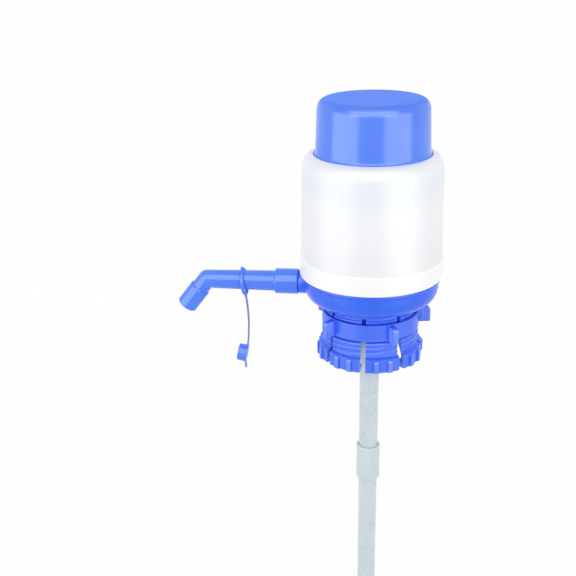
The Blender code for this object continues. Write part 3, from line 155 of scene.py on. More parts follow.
def skinned(rings, closed=True, capped=False, cap_parts=None):
    """A mesh through rings of points in millimetres. A ring of one point closes to a tip.

    cap_parts gives, for the first and the last ring, lists of the points that make each end face.
    """
    mesh = bmesh.new()
    loops = [[mesh.verts.new(Vector(point) * MM) for point in ring] for ring in rings]
    pairs = list(zip(loops, loops[1:]))
    if closed:
        pairs.append((loops[-1], loops[0]))
    for ring, following in pairs:
        count = max(len(ring), len(following))
        if count == 1:
            continue
        for index in range(count):
            after = (index + 1) % count
            corners = [ring[index % len(ring)], following[index % len(following)]]
            if len(following) > 1:
                corners.append(following[after])
            if len(ring) > 1:
                corners.append(ring[after])
            mesh.faces.new(corners)
    if capped:
        mesh.faces.new(loops[0])
        mesh.faces.new(reversed(loops[-1]))
    for loop, parts in zip((loops[0], loops[-1]), cap_parts or []):
        for part in parts:
            mesh.faces.new([loop[index] for index in part])
    return mesh


def circle(radius, height, steps):
    if radius < AXIS_RADIUS:
        return [(0, 0, height)]
    turns = [math.tau * step / steps for step in range(steps)]
    return [(radius * math.cos(turn), radius * math.sin(turn), height) for turn in turns]


def turned(outline, steps=LARGE_STEPS):
    """A solid turned round the pump's axis from a closed outline."""
    return skinned([circle(radius, height, steps) for radius, height in rounded(outline)])


print("a large piece has", LARGE_STEPS, "flats round it, and a small one has", SMALL_STEPS)


# %% [markdown]
# A shape is drawn where that is easy, upright round the pump's axis, and then it is moved to its
# place. A shape that repeats, such as a lug or a hole, is made again for each of its places. Linked
# copies would be lighter, but a moulding is one piece of plastic, so the copies go into one mesh.

# %% Placing and repeating shapes
def moved(mesh, matrix):
    bmesh.ops.transform(mesh, matrix=matrix, verts=mesh.verts)
    return mesh


def laid(mesh, direction, start):
    """Lays a shape that was made up the Z axis along a direction, from a point in millimetres."""
    turn = Vector(direction).to_track_quat("Z", "Y").to_matrix().to_4x4()
    return moved(mesh, Matrix.Translation(Vector(start) * MM) @ turn)


def merged(meshes):
    whole = bmesh.new()
    for mesh in meshes:
        scratch = bpy.data.meshes.new("scratch")
        mesh.to_mesh(scratch)
        mesh.free()
        whole.from_mesh(scratch)
        bpy.data.meshes.remove(scratch)
    return whole


def around(make, count, first_deg=0):
    """Copies of a shape, spaced evenly round the pump's axis."""
    turns = [math.radians(first_deg) + math.tau * index / count for index in range(count)]
    return merged([moved(make(), Matrix.Rotation(turn, 4, "Z")) for turn in turns])


print("a shape can be moved, laid along a line, merged with others or repeated round the axis")


# %% [markdown]
# Some pieces are two shapes that were moulded as one, such as the bowl and its stub, or a shape with
# something cut away. Blender's exact Boolean joins or cuts them. Its result is read back at once, so
# that no modifier is left on the piece. The Boolean works in several threads, which hand over their
# points in a different order each time. So they are sorted, and every run gives the same mesh.

# %% A mesh in a fixed order
def ordered(data):
    """A mesh whose points are sorted by place, and whose faces are sorted by their points."""
    order = sorted(range(len(data.vertices)), key=lambda index: tuple(data.vertices[index].co))
    ranks = {index: rank for rank, index in enumerate(order)}
    faces = []
    for polygon in data.polygons:
        ring = [ranks[index] for index in polygon.vertices]
        start = ring.index(min(ring))
        faces.append(ring[start:] + ring[:start])
    mesh = bmesh.new()
    points = [mesh.verts.new(data.vertices[index].co) for index in order]
    for ring in sorted(faces):
        mesh.faces.new([points[rank] for rank in ring])
    return mesh


print("a Boolean's result is sorted by place")


# %% [markdown]
# The Boolean is a modifier, so the two shapes become objects for a moment. Along the line where their
# surfaces meet it can leave points that all but touch, and these are made one afterwards.

# %% Joining and cutting
WELD = 1e-6


def combined(base, other, operation):
    """One mesh from two: operation is UNION or DIFFERENCE."""
    things = []
    for mesh in (base, other):
        bmesh.ops.recalc_face_normals(mesh, faces=mesh.faces)
        data = bpy.data.meshes.new("scratch")
        mesh.to_mesh(data)
        mesh.free()
        thing = bpy.data.objects.new("scratch", data)
        bpy.context.scene.collection.objects.link(thing)
        things.append(thing)
    modifier = things[0].modifiers.new("combine", "BOOLEAN")
    modifier.operation = operation
    modifier.object = things[1]
    modifier.solver = "EXACT"
    shown = things[0].evaluated_get(bpy.context.evaluated_depsgraph_get())
    result = ordered(shown.to_mesh())
    shown.to_mesh_clear()
    for thing in things:
        data = thing.data
        bpy.data.objects.remove(thing)
        bpy.data.meshes.remove(data)
    bmesh.ops.remove_doubles(result, verts=result.verts, dist=WELD)
    bmesh.ops.dissolve_degenerate(result, edges=result.edges, dist=WELD)
    return result


def joined(base, other):
    return combined(base, other, "UNION")


def cut(base, other):
    return combined(base, other, "DIFFERENCE")


print("points closer than", WELD / MM, "mm become one")


# %% [markdown]
# A finished piece is smooth over its gentle turns and sharp at its real edges. It rides on the body
# of the frame that moves it, and it stands for the plain node of the same place.

# %% Finishing a piece
SHARP_DEG = 38


def finished(name, mesh, finish, body, nodes):
    """Names a mesh, shades it, gives it its finish and ties it to the frame."""
    bmesh.ops.recalc_face_normals(mesh, faces=mesh.faces)
    data = bpy.data.meshes.new(name)
    mesh.to_mesh(data)
    mesh.free()
    data.shade_smooth()
    data.set_sharp_from_angle(angle=math.radians(SHARP_DEG))
    data.materials.append(finish)
    made = bpy.data.objects.new(name, data)
    bpy.context.scene.collection.objects.link(made)
    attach(made, body)
    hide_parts(*nodes)
    print(name, "has", len(data.polygons), "faces")
    return made


print("an edge that turns by more than", SHARP_DEG, "degrees stays sharp")


# %% [markdown]
# Colours are written as the hex values of a colour picker, in sRGB. The shader wants linear light,
# so one function turns the first into the second.
# A second small function adds a node to a material, with its settings and its links, and every
# material is built with it.

# %% Colours and nodes
def linear(hex_colour):
    """An sRGB hex value as a linear colour with alpha."""
    parts = [int(hex_colour[place : place + 2], 16) / 255 for place in (1, 3, 5)]
    return [part / 12.92 if part <= 0.04045 else ((part + 0.055) / 1.055) ** 2.4 for part in parts] + [1]


def node(tree, kind, inputs=None, **settings):
    """Adds a node, makes its settings, sets or links its inputs, and gives its first output in use."""
    made = tree.nodes.new(kind)
    for name, value in settings.items():
        setattr(made, name, value)
    for key, value in (inputs or {}).items():
        socket = made.inputs[key] if isinstance(key, int) else None
        socket = socket or next(one for one in made.inputs if one.name == key and one.enabled)
        if isinstance(value, bpy.types.NodeSocket):
            tree.links.new(value, socket)
        else:
            socket.default_value = value
    return next(one for one in made.outputs if one.enabled)


print("a mid grey of #808080 is", round(linear("#808080")[0], 3), "in linear light")


# %% [markdown]
# Injection moulded plastic looks even from afar, but never flat. Close to, the pigment swims a
# little in streaks some centimetres long, the gloss changes where the melt met a colder wall, and
# the skin has a faint orange peel a few millimetres across over a fine grain from the mould's steel.
# Four noises at those real sizes give that: one to the colour, one to the roughness, and two to the
# bump. A picture of plastic wrapped round each piece would need seams and would stretch. The noises
# are read in the piece's own space, in metres, so the scale of each is one over its size.

# %% The sizes in a moulded skin
STREAK_SIZE = 0.028
STREAK_ROUGHNESS = 0.45
# The middle part of a noise's values, which is stretched over the whole change that it makes
STREAK_SPAN = (0.35, 0.65)
GLOSS_SIZE = 0.010
GLOSS_SPAN = (0.3, 0.7)
PEEL_SIZE = 0.004
PEEL_DEPTH = 0.000003
# Real mould grain is near 0.1 mm; it is drawn at 1 mm, which is as fine as the picture can show
GRAIN_SIZE = 0.001
GRAIN_DEPTH = 0.000001
print("sizes in metres: streak", STREAK_SIZE, "gloss", GLOSS_SIZE, "peel", PEEL_SIZE, "grain", GRAIN_SIZE)


# %% [markdown]
# The four noises come together in one material. The first mixes two close tones of the colour, and
# the second moves the roughness a little up and down. Both are stretched over their middle values,
# because a noise seldom reaches 0 or 1. The last two are chained in the bump: the peel bends the
# surface, and the grain bends that again.

# %% The finish of a moulded plastic
def moulded(name, colour, streak, roughness, spread, ior, peel=PEEL_DEPTH):
    """A plastic or rubber with streaks of a second colour and a gloss that varies by its spread."""
    material = bpy.data.materials.new(name)
    material.use_nodes = True
    tree = material.node_tree
    shader = tree.nodes["Principled BSDF"]
    place = node(tree, "ShaderNodeTexCoord").node.outputs["Object"]
    streaks = node(
        tree,
        "ShaderNodeTexNoise",
        {"Vector": place, "Scale": 1 / STREAK_SIZE, "Detail": 3, "Roughness": STREAK_ROUGHNESS},
    )
    span = node(
        tree,
        "ShaderNodeMapRange",
        {"Value": streaks, "From Min": STREAK_SPAN[0], "From Max": STREAK_SPAN[1]},
    )
    tone = node(
        tree,
        "ShaderNodeMix",
        {"Factor": span, "A": linear(colour), "B": linear(streak)},
        data_type="RGBA",
    )
    gloss = node(tree, "ShaderNodeTexNoise", {"Vector": place, "Scale": 1 / GLOSS_SIZE, "Detail": 2})
    rough = node(
        tree,
        "ShaderNodeMapRange",
        {
            "Value": gloss,
            "From Min": GLOSS_SPAN[0],
            "From Max": GLOSS_SPAN[1],
            "To Min": roughness - spread,
            "To Max": roughness + spread,
        },
    )
    peel_noise = node(tree, "ShaderNodeTexNoise", {"Vector": place, "Scale": 1 / PEEL_SIZE, "Detail": 1})
    peel_bump = node(tree, "ShaderNodeBump", {"Height": peel_noise, "Distance": peel})
    grain = node(tree, "ShaderNodeTexNoise", {"Vector": place, "Scale": 1 / GRAIN_SIZE, "Detail": 2})
    grain_bump = node(
        tree,
        "ShaderNodeBump",
        {"Height": grain, "Distance": GRAIN_DEPTH, "Normal": peel_bump},
    )
    tree.links.new(tone, shader.inputs["Base Color"])
    tree.links.new(rough, shader.inputs["Roughness"])
    tree.links.new(grain_bump, shader.inputs["Normal"])
    shader.inputs["IOR"].default_value = ior
    print(name, "has a roughness of", roughness, "and an IOR of", ior)
    return material


# %% [markdown]
# The hard blue pieces are all polypropylene with one blue pigment, but they don't look alike. The
# cap's tool was polished. The bowl's blue is painted deeper, as painted shade for the shade that it
# lies in. The spout's blue is painted paler, as painted light for the light that comes through its
# thin wall, and the ring and the collet were sparked to a finer matt. The housing is milky
# polypropylene, the dust cap is soft polyethylene with a greasy, duller skin, and the tube and the
# inner pieces are left without any pigment. The valves, the deck's gasket and the O-ring are black
# nitrile rubber, and the washer under the bowl's floor is clear silicone rubber.

# %% Materials
cap_blue = moulded("polypropylene_blue_polished", "#5585F5", "#4F7FF2", 0.20, 0.03, 1.49)
# the bowl's deeper blue is painted shade
bowl_blue_painted_shade = moulded("polypropylene_blue_painted_shade", "#2466F3", "#2060EF", 0.26, 0.03, 1.49)
# the spout's paler blue is painted light, for light that comes through its thin wall
pipe_blue_painted_light = moulded("polypropylene_blue_painted_light", "#4C82F6", "#467CF2", 0.20, 0.02, 1.49)
ring_blue = moulded("polypropylene_blue_sparked", "#3E70F2", "#386AEE", 0.32, 0.04, 1.49)
soft_blue = moulded("polyethylene_soft_blue", "#4E7CF2", "#4876EE", 0.38, 0.03, 1.51)
milky_white = moulded("polypropylene_milky_white", "#EFF1F5", "#ECEEF3", 0.38, 0.03, 1.50, peel=0.000002)
tube_clear = moulded("polypropylene_natural_extruded", "#D9E4E8", "#D3DFE4", 0.30, 0.05, 1.50, peel=0)
inner_white = moulded("polyethylene_natural_moulded", "#E4E6E2", "#DEE1DD", 0.42, 0.05, 1.51)
rubber_black = moulded("nitrile_rubber_black", "#3A3A3C", "#333335", 0.62, 0.06, 1.52)
silicone_clear = moulded("silicone_rubber_clear", "#D6D6CF", "#CFCFC7", 0.48, 0.06, 1.43)

# %% [markdown]
# Where light or shade is painted into a piece, or a part of it is a greyer tone, its colour changes
# from place to place. Two small functions do that for every material: one mixes a second colour in
# by a share, and the other gives a share that depends on the height, with soft ends.

# %% A second colour, by height
def toned(material, share, hex_colour):
    """Mixes a second colour into a material's colour, by a share from 0 to 1."""
    tree = material.node_tree
    shader = tree.nodes["Principled BSDF"]
    plain = shader.inputs["Base Color"].links[0].from_socket
    tone = node(
        tree, "ShaderNodeMix", {"Factor": share, "A": plain, "B": linear(hex_colour)}, data_type="RGBA"
    )
    tree.links.new(tone, shader.inputs["Base Color"])


def between(material, rise, fall, most):
    """A share that rises between two heights in millimetres and falls again between two others."""
    tree = material.node_tree
    place = node(tree, "ShaderNodeTexCoord").node.outputs["Object"]
    height = node(tree, "ShaderNodeSeparateXYZ", {"Vector": place}).node.outputs["Z"]
    shares = [
        node(
            tree,
            "ShaderNodeMapRange",
            {"Value": height, "From Min": start * MM, "From Max": end * MM, "To Max": top},
            interpolation_type="SMOOTHSTEP",
        )
        for (start, end), top in ((rise, most), (fall[::-1], 1))
    ]
    return node(tree, "ShaderNodeMath", {0: shares[0], 1: shares[1]}, operation="MULTIPLY")


print("there are", len(bpy.data.materials), "materials so far, with the plain model's own")


# %% [markdown]
# Milky polypropylene isn't a painted white. Light goes a few millimetres into the wall and comes out
# again, which softens every shadow on it, so it gets some subsurface light. On top of that, three
# tones by height are painted light and shade: high up, the cap's blue skirt shining through the wall
# is painted in as a soft ring of glow; towards the foot, with only the pale bellows behind it, the wall
# is painted a little greyer as shade; and the thicker band at the foot is painted whiter, as less of
# that shade shows through it. The tube is the same plastic, thinner, so a little light goes right
# through it.

# %% Light inside the milky wall, painted light and shade on it, and the tube
milky_shader = milky_white.node_tree.nodes["Principled BSDF"]
milky_shader.inputs["Subsurface Weight"].default_value = 0.25
milky_shader.inputs["Subsurface Radius"].default_value = (0.004, 0.004, 0.005)
milky_shader.inputs["Subsurface Scale"].default_value = 1
# Each tone comes in between two heights, goes out between two others, and has a largest share
SKIRT_PAINTED_GLOW = ((80, 97), (99, 113), 0.3)
FOOT_PAINTED_SHADE = ((38.4, 38.6), (41, 75), 0.5)
BAND_PAINTED_LIGHT = ((10, 12), (38.3, 38.5), 0.8)
# painted glow of the skirt, painted shade towards the foot, and a band painted whiter
toned(milky_white, between(milky_white, *SKIRT_PAINTED_GLOW), "#D8E6FA")
toned(milky_white, between(milky_white, *FOOT_PAINTED_SHADE), "#E9EAED")
toned(milky_white, between(milky_white, *BAND_PAINTED_LIGHT), "#FBFBFD")

tube_shader = tube_clear.node_tree.nodes["Principled BSDF"]
tube_shader.inputs["Transmission Weight"].default_value = 0.15
print("tones on the milky wall:", SKIRT_PAINTED_GLOW, FOOT_PAINTED_SHADE, BAND_PAINTED_LIGHT)

# %% [markdown]
# The cap's flat top is textured so that it grips, and so it is duller than the polished wall. A
# second material on the top face would change with a hard line at its edge. The same share by height
# that tones the wall makes the roughness rise softly in the cap's round corner instead.

# %% The cap's duller top
cap_tree = cap_blue.node_tree
cap_shader = cap_tree.nodes["Principled BSDF"]
DULL_FROM = (150.5, 153.5)
ABOVE_THE_PUMP = (200, 210)
DULL_ROUGHNESS = 0.6
SHEEN_LEVELS = (0.5, 0.2)
top_share = between(cap_blue, DULL_FROM, ABOVE_THE_PUMP, 1)
polished = cap_shader.inputs["Roughness"].links[0].from_socket
dulled = node(cap_tree, "ShaderNodeMix", {"Factor": top_share, "A": polished, "B": DULL_ROUGHNESS})
cap_tree.links.new(dulled, cap_shader.inputs["Roughness"])
less_sheen = node(
    cap_tree,
    "ShaderNodeMapRange",
    {"Value": top_share, "To Min": SHEEN_LEVELS[0], "To Max": SHEEN_LEVELS[1]},
)
cap_tree.links.new(less_sheen, cap_shader.inputs["Specular IOR Level"])
print("the cap turns dull between", DULL_FROM, "mm")

# %% [markdown]
# The dust cap's thin strap and its tab are a greyer blue than the loop and the plug, which keep the
# plain blue. They are all one moulding and one material, so the grey is mixed in by height.
# They are all one moulding and one material, so the grey is mixed in by height too.

# %% The greyer strap and tab
STRAP_HEIGHTS = ((-42, -38), (-2, 3))
TAB_HEIGHTS = ((-101, -100), (-57, -55))
# a greyer blue is mixed into the strap and the tab by height
for rise, fall in (STRAP_HEIGHTS, TAB_HEIGHTS):
    toned(soft_blue, between(soft_blue, rise, fall, 1), "#6F76B8")
print("greyed heights in mm:", STRAP_HEIGHTS, TAB_HEIGHTS)

# %% [markdown]
# On the ring and the collet the thread's crests, the teeth and the lugs' edges are painted paler than
# the flats, as painted highlights, and the thread's roots are painted deeper, as painted shade.
# Edges painted in a picture would be slow to make and would have to be made again after each change
# of shape. Blender's pointiness says how far the surface bends outwards or inwards, and it gives both
# shares: it is 0.5 on a flat, more on an edge and less in a groove.

# %% Painted highlights on edges and painted shade in grooves
def edge_share(material, start, end, most):
    """A share that rises as the surface bends, between two values of the pointiness."""
    tree = material.node_tree
    bend = node(tree, "ShaderNodeNewGeometry").node.outputs["Pointiness"]
    return node(
        tree,
        "ShaderNodeMapRange",
        {"Value": bend, "From Min": start, "From Max": end, "To Max": most},
    )


PAINTED_EDGE_HIGHLIGHT = (0.51, 0.58, 0.75)
PAINTED_GROOVE_SHADE = (0.49, 0.43, 0.6)
# painted highlights on the outward edges, and painted shade in the thread's roots
toned(ring_blue, edge_share(ring_blue, *PAINTED_EDGE_HIGHLIGHT), "#84A2F8")
toned(ring_blue, edge_share(ring_blue, *PAINTED_GROOVE_SHADE), "#2450D0")
print("edges are paler from a pointiness of", PAINTED_EDGE_HIGHLIGHT[0], "and deeper under", PAINTED_GROOVE_SHADE[0])

# %% [markdown]
# The press cap is what works the pump. It is a plain tapered dome with a generous corner at the top,
# and it flares at its foot so that nothing is pinched between it and the housing. Inside the housing
# it goes on as a skirt that guides it. It could be a cylinder with a bevel and a solidified wall, but
# one outline, turned once, gives the flare, the skirt and the wall's true thickness together. Six
# ribs under the top carry the bellows.

# %% Press cap
CAP_OUTLINE = [
    (0, 153.9),
    (1.0, 153.9, 0.3),
    (1.6, 154.0, 0.3),
    (40.0, 154.0, 7.0),
    (41.4, 119.5),
    *curve((42.4, 119.5), (-1.0, -4.2), 8, 72, 10),
    (42.4, 115.3, 0.2),
    (42.4, 114.6),
    *curve((42.8, 106.0), (5.8, 6.4), 90, 0, 12),
    (48.6, 94.4, 0.4),
    (46.8, 94.4, 0.4),
    (41.4, 106.0, 3.0),
    (39.6, 119.5, 6.0),
    (38.2, 151.8, 5.2),
    (0, 151.8),
]


def block(low, high):
    """A box between two corners in millimetres."""
    (x0, y0, z0), (x1, y1, z1) = low, high
    return skinned([[(x0, y0, z), (x1, y0, z), (x1, y1, z), (x0, y1, z)] for z in (z0, z1)], False, True)


RIB_LOW = (10.0, -0.8, 147.2)
RIB_HIGH = (36.2, 0.8, 152.6)
CAP_RIBS = 6


def cap_rib():
    return block(RIB_LOW, RIB_HIGH)


cap_mesh = joined(turned(CAP_OUTLINE), around(cap_rib, CAP_RIBS))
finished("press_cap_moulding", cap_mesh, cap_blue, "cap", ["press_cap"])

# %% [markdown]
# The housing is a cylinder with a little draft, so that it comes off its mould, a rounded shoulder
# and a thicker band at its foot, where it takes the whole load. The band's top edge is a
# narrow ledge that catches the light all the way round, so it needs a real step and not a line.

# %% Housing
HOUSING_OUTLINE = [
    (42.8, 112.8, 0.4),
    (42.8, 115.0, 0.4),
    *curve((42.8, 106.0), (8.4, 9.0), 84, 0, 16),
    (52.6, 38.4, 0.35),
    (53.7, 38.4, 0.6),
    (53.7, 24.0, 0.7),
    (51.4, 24.0, 0.3),
    (51.4, 33.3),
    (50.4, 37.3),
    *curve((42.8, 106.0), (6.2, 6.8), 0, 84, 12),
]
finished("housing_moulding", turned(HOUSING_OUTLINE), milky_white, "base", ["housing"])

# %% [markdown]
# The bowl closes the foot of the housing and sits on top of the collet. Its outside is one full
# curve from the rim down to the collet. The stub that carries the spout has a groove for the O-ring.
# Both are turned shapes: the bowl stands up, and the stub is laid along the spout's axis later.

# %% The outlines of the bowl and its stub
SPOUT_Z = 14.0
BOWL_OUTLINE = [
    (0, 21.2),
    *curve((0, SPOUT_Z), (7.2, 7.2), 84, 0, 8),
    (7.2, 5.8, 0.6),
    (29.1, 5.8, 0.4),
    (29.1, 9.9, 0.4),
    (45.7, 9.9, 1.2),
    (45.7, 22.0, 0.3),
    (48.7, 22.0, 0.3),
    (48.7, 33.0, 0.3),
    (51.1, 33.0, 0.5),
    (51.1, 23.7),
    (52.4, 23.7, 0.4),
    (52.4, 21.6, 0.6),
    (51.0, 20.4, 0.6),
    *curve((38.1, 20.2), (12.8, -16.6), 3, 87, 24, 0.72),
    (38.1, 3.6),
    (35.8, 3.6, 0.3),
    (35.8, 4.3),
    (34.4, 4.3, 0.2),
    (34.4, 5.3),
    (36.8, 5.3),
    (36.8, 8.3),
    (30.7, 8.3),
    (30.7, -9.0, 0.5),
    (28.3, -9.0, 0.5),
    (28.3, 3.3),
    (10.0, 3.3, 0.5),
    (10.0, -13.7, 0.5),
    (7.8, -13.7, 0.4),
    (7.8, 3.3),
    (0, 3.3),
]
STUB_RADIUS = 7.2
STUB_ROOT_RADIUS = 6.4
GROOVE_FLOOR_RADIUS = 5.6
STUB_LENGTH = 71.2
STUB_OUTLINE = [
    (0, 1.5),
    (STUB_ROOT_RADIUS, 1.5),
    (STUB_ROOT_RADIUS, 40.0),
    (STUB_RADIUS, 40.0),
    (STUB_RADIUS, 62.9),
    (GROOVE_FLOOR_RADIUS, 62.9),
    (GROOVE_FLOOR_RADIUS, 65.1),
    (STUB_RADIUS, 65.1),
    (STUB_RADIUS, STUB_LENGTH, 0.7),
    (0, STUB_LENGTH),
]
print("the stub reaches", STUB_LENGTH, "mm from the pump's axis")


# %% [markdown]
# The riser inside the bowl turns the water from the dip tube out into the stub. Two drilled holes
# would meet in a sharp corner, and a moulded water way has a bend there. So it is cut as one swept
# elbow: a socket for the tube, a quarter turn in twelve steps, and a straight run out of the stub.
# Round it the floor has six holes, which let the pressed air down.

# %% The water way and the air holes
TUBE_SOCKET_RADIUS = 7.8
TUBE_SOCKET_FOOT_Z = -14.7
TUBE_STOP_Z = 3.3
WATER_RADIUS = 4.5
ELBOW_CURL = 6.0
ELBOW_STEPS = 12
WATER_REACH = 66.5
AIR_HOLES = 6
AIR_HOLE_RADIUS = 2.2
AIR_HOLE_DISTANCE = 15.0
AIR_HOLE_HEIGHTS = (2.3, 6.8)
HOLE_STEPS = 24


def peg(radius, low, high, steps):
    """A plain round peg from one height to another, which is what cuts a hole."""
    return turned([(0, low), (radius, low), (radius, high), (0, high)], steps)


def water_way():
    """The elbow from the dip tube's socket up the riser and out along the stub."""
    rings = [
        circle(TUBE_SOCKET_RADIUS, TUBE_SOCKET_FOOT_Z, SMALL_STEPS),
        circle(TUBE_SOCKET_RADIUS, TUBE_STOP_Z, SMALL_STEPS),
        circle(WATER_RADIUS, TUBE_STOP_Z, SMALL_STEPS),
    ]
    corner = Vector((-ELBOW_CURL, 0, SPOUT_Z - ELBOW_CURL))
    for step in range(ELBOW_STEPS + 1):
        angle = math.pi / 2 * step / ELBOW_STEPS
        outward = Vector((math.cos(angle), 0, math.sin(angle)))
        centre = corner + outward * ELBOW_CURL
        section = circle(WATER_RADIUS, 0, SMALL_STEPS)
        rings.append([centre + outward * x + Vector((0, y, 0)) for x, y, z in section])
    rings.append([point - Vector((WATER_REACH, 0, 0)) for point in rings[-1]])
    return skinned(rings, False, True)


def air_hole():
    hole = peg(AIR_HOLE_RADIUS, *AIR_HOLE_HEIGHTS, HOLE_STEPS)
    return moved(hole, Matrix.Translation((AIR_HOLE_DISTANCE * MM, 0, 0)))


print("the water way is", 2 * WATER_RADIUS, "mm wide")

# %% [markdown]
# Where the stub leaves the bowl it is thicker, and its upper side is cut flat, because the housing's
# band sits right above it. No turned shape has a flat side, so this neck is a skin through rings
# whose points are held under a ceiling. Then everything is joined, and the hollows are cut last, so
# that no joined piece fills them again.

# %% Base bowl
# Each station is a distance from the pump's axis, a radius and the ceiling's height
NECK_STATIONS = [
    (39.2, 9.0, 21.6),
    (48.9, 9.0, 21.6),
    (49.1, 9.0, 23.7),
    (54.2, 9.0, 23.7),
    (54.5, 8.85, 23.7),
    (54.7, 8.5, 23.7),
]


def neck_ring(distance, radius, ceiling):
    """A ring of the stub's thick neck, with its upper side held under a ceiling."""
    ring = []
    for step in range(SMALL_STEPS):
        turn = math.tau * step / SMALL_STEPS
        height = min(SPOUT_Z + radius * math.cos(turn), ceiling)
        ring.append((-distance, radius * math.sin(turn), height))
    return ring


stub_mesh = laid(turned(STUB_OUTLINE, SMALL_STEPS), (-1, 0, 0), (0, 0, SPOUT_Z))
neck_mesh = skinned([neck_ring(*station) for station in NECK_STATIONS], False, True)
bowl_mesh = joined(turned(BOWL_OUTLINE), neck_mesh)
bowl_mesh = joined(bowl_mesh, stub_mesh)
bowl_mesh = cut(bowl_mesh, merged([water_way(), around(air_hole, AIR_HOLES, 180 / AIR_HOLES)]))
finished("base_bowl_moulding", bowl_mesh, bowl_blue_painted_shade, "base", ["base_bowl"])

# %% [markdown]
# The neck collet is the busiest moulding: a collar split into eight fingers, with a coarse thread
# outside for the ring, a swell below it, and a toothed rim. The ring rides down the thread and
# squeezes the fingers together. Turning it and cutting slots would leave razor edges,
# so each finger is skinned on its own, column by column. A column near a slot follows the slot's
# flat side, which leans because the slots get wider towards the rim, and the outermost is drawn in
# by a small chamfer. The rows between lean with the thread's pitch, so that a crest is a clean line.

# %% The collet's sizes
# Turns round the pump are counted from +X, so its front, which faces -Y, is at -90 degrees
FRONT_DEG = -90
FINGERS = 8
FIRST_SLOT_DEG = FRONT_DEG - 5.5
FIRST_FINGER_DEG = FIRST_SLOT_DEG + 180 / FINGERS
SLOT_TOP_Z = -1.2
SLOT_BOTTOM_Z = -43.6
SLOT_HALF = (1.5, 2.0)
SLOT_LEAN = 0.25
FINGER_LAP = 0.05
CHAMFER = 0.3
COLLAR_TOP_Z = 5.2
COLLAR_RADIUS = 34.1
SWELL = 1.7
SWELL_HEIGHTS = (-21.1, -18.3)
RIM_TOP_Z = -30.9
RIM_REACH = 2.8
RIM_SLOPE = 1.4
RIM_BOTTOM_Z = -42.6
# A row just above and one just below an edge keep the edge crisp
NEAR = 0.01
INNER_ROWS = [
    (28.1, RIM_BOTTOM_Z, 0.4),
    (28.1, -40.6, 0.4),
    (35.9, -38.6, 1.0),
    (35.9, -31.6, 1.5),
    (31.2, -21.1, 2.0),
    (31.2, SLOT_TOP_Z - NEAR),
    (31.2, SLOT_TOP_Z + NEAR),
    (31.2, COLLAR_TOP_Z),
]
print("each finger is", 360 / FINGERS, "degrees wide, and the first slot is at", FIRST_SLOT_DEG)

# %% [markdown]
# A real thread has round crests and climbs by one pitch in each turn. It runs out at the top and runs
# into the toothed rim at its foot. So it isn't a row of separate rings. How far it stands out at a
# place follows from how far that place is from the nearest crest, and a smooth step draws the
# crest's flanks and the thread's two ends.

# %% The thread, the swell and the teeth
THREAD_PITCH = 4.2
THREAD_RISE = 0.9
THREAD_PHASE = -20.5
CREST_FLANK = (0.5, 1.35)
THREAD_END = (3.2, 3.9)
THREAD_START = (-30.4, -29.6)
TOOTH_DEG = 7.5
TOOTH_TOP_Z = -32.8
TOOTH_RISE = 0.75
TOOTH_SLOPE = 1.3
TOOTH_FLANK_DEG = (2.4, 2.8)


def smooth(low, high, value):
    """0 below the first value, 1 above the second, and an easy curve between."""
    share = min(1, max(0, (value - low) / (high - low)))
    return share * share * (3 - 2 * share)


def thread_rise(height, crest_height):
    """How far the thread stands out at a height, for a crest at another height."""
    apart = abs((height - crest_height + THREAD_PITCH / 2) % THREAD_PITCH - THREAD_PITCH / 2)
    crest = 1 - smooth(*CREST_FLANK, apart)
    crest *= 1 - smooth(*THREAD_END, height)
    return THREAD_RISE * max(crest, 1 - smooth(*THREAD_START, height))


def root_radius(height):
    """The collet's outside without thread: collar, swell and toothed rim."""
    radius = COLLAR_RADIUS + SWELL * (1 - smooth(*SWELL_HEIGHTS, height))
    if height < RIM_TOP_Z:
        radius += RIM_REACH * min(1, (RIM_TOP_Z - height) / RIM_SLOPE)
    return radius


def tooth_rise(height):
    """The height of a tooth over the rim: a sloped top face and a straight front."""
    if height > TOOTH_TOP_Z:
        return 0
    return TOOTH_RISE + TOOTH_RISE * min(1, (TOOTH_TOP_Z - height) / TOOTH_SLOPE)


print("the thread climbs", THREAD_PITCH, "mm a turn and stands out by", THREAD_RISE, "mm")

# %% [markdown]
# A finger needs its rows close together only along the thread, and at the places where its outline
# turns. Its columns stand close only at the slots' edges and the teeth's flanks. Spending the points
# there keeps the mesh light and its edges clean, where an even grid would blur every one of them.

# %% The fingers' rows and columns
THREAD_ROWS_TOP = 3.9
THREAD_ROWS_FOOT = -30.5
THREAD_STEP = 0.3
thread_count = int((THREAD_ROWS_TOP - THREAD_ROWS_FOOT) / THREAD_STEP) + 1
thread_rows = [THREAD_ROWS_TOP - THREAD_STEP * row for row in range(thread_count)]
slot_rows = [SLOT_TOP_Z + side * SLOT_LEAN + step for side in (-1, 1) for step in (-NEAR, NEAR)]
upper_rows = sorted([*thread_rows, *slot_rows], reverse=True)
# How far the rim's foot is drawn in at its last rows, which rounds it
RIM_ROUND = {-42.15: 0.04, -42.38: 0.16, -42.53: 0.4, RIM_BOTTOM_Z: 0.7}
OUTER_ROWS = [COLLAR_TOP_Z, 4.4, *upper_rows, -30.75, RIM_TOP_Z, -31.2, -32.0, -32.3, -32.6]
OUTER_ROWS += [-32.79, -32.81, -33.2, -34.0, -34.2, -34.6, -38.2, -41.5, -41.9, *RIM_ROUND]
flank_offsets = [side * offset for side in (-1, 1) for offset in TOOTH_FLANK_DEG]
tooth_columns = [side * TOOTH_DEG + offset for side in (-1, 1) for offset in (0, *flank_offsets)]
INNER_COLUMNS = sorted([-15.2, -12.8, -3.2, -1.6, 0, 1.6, 3.2, 12.8, 15.2, *tooth_columns])
EDGE_COLUMNS = (0, CHAMFER, 0.7)
LEAN_END = (2.4, 4.0)
LEAN_START = (-30.9, -29.4)
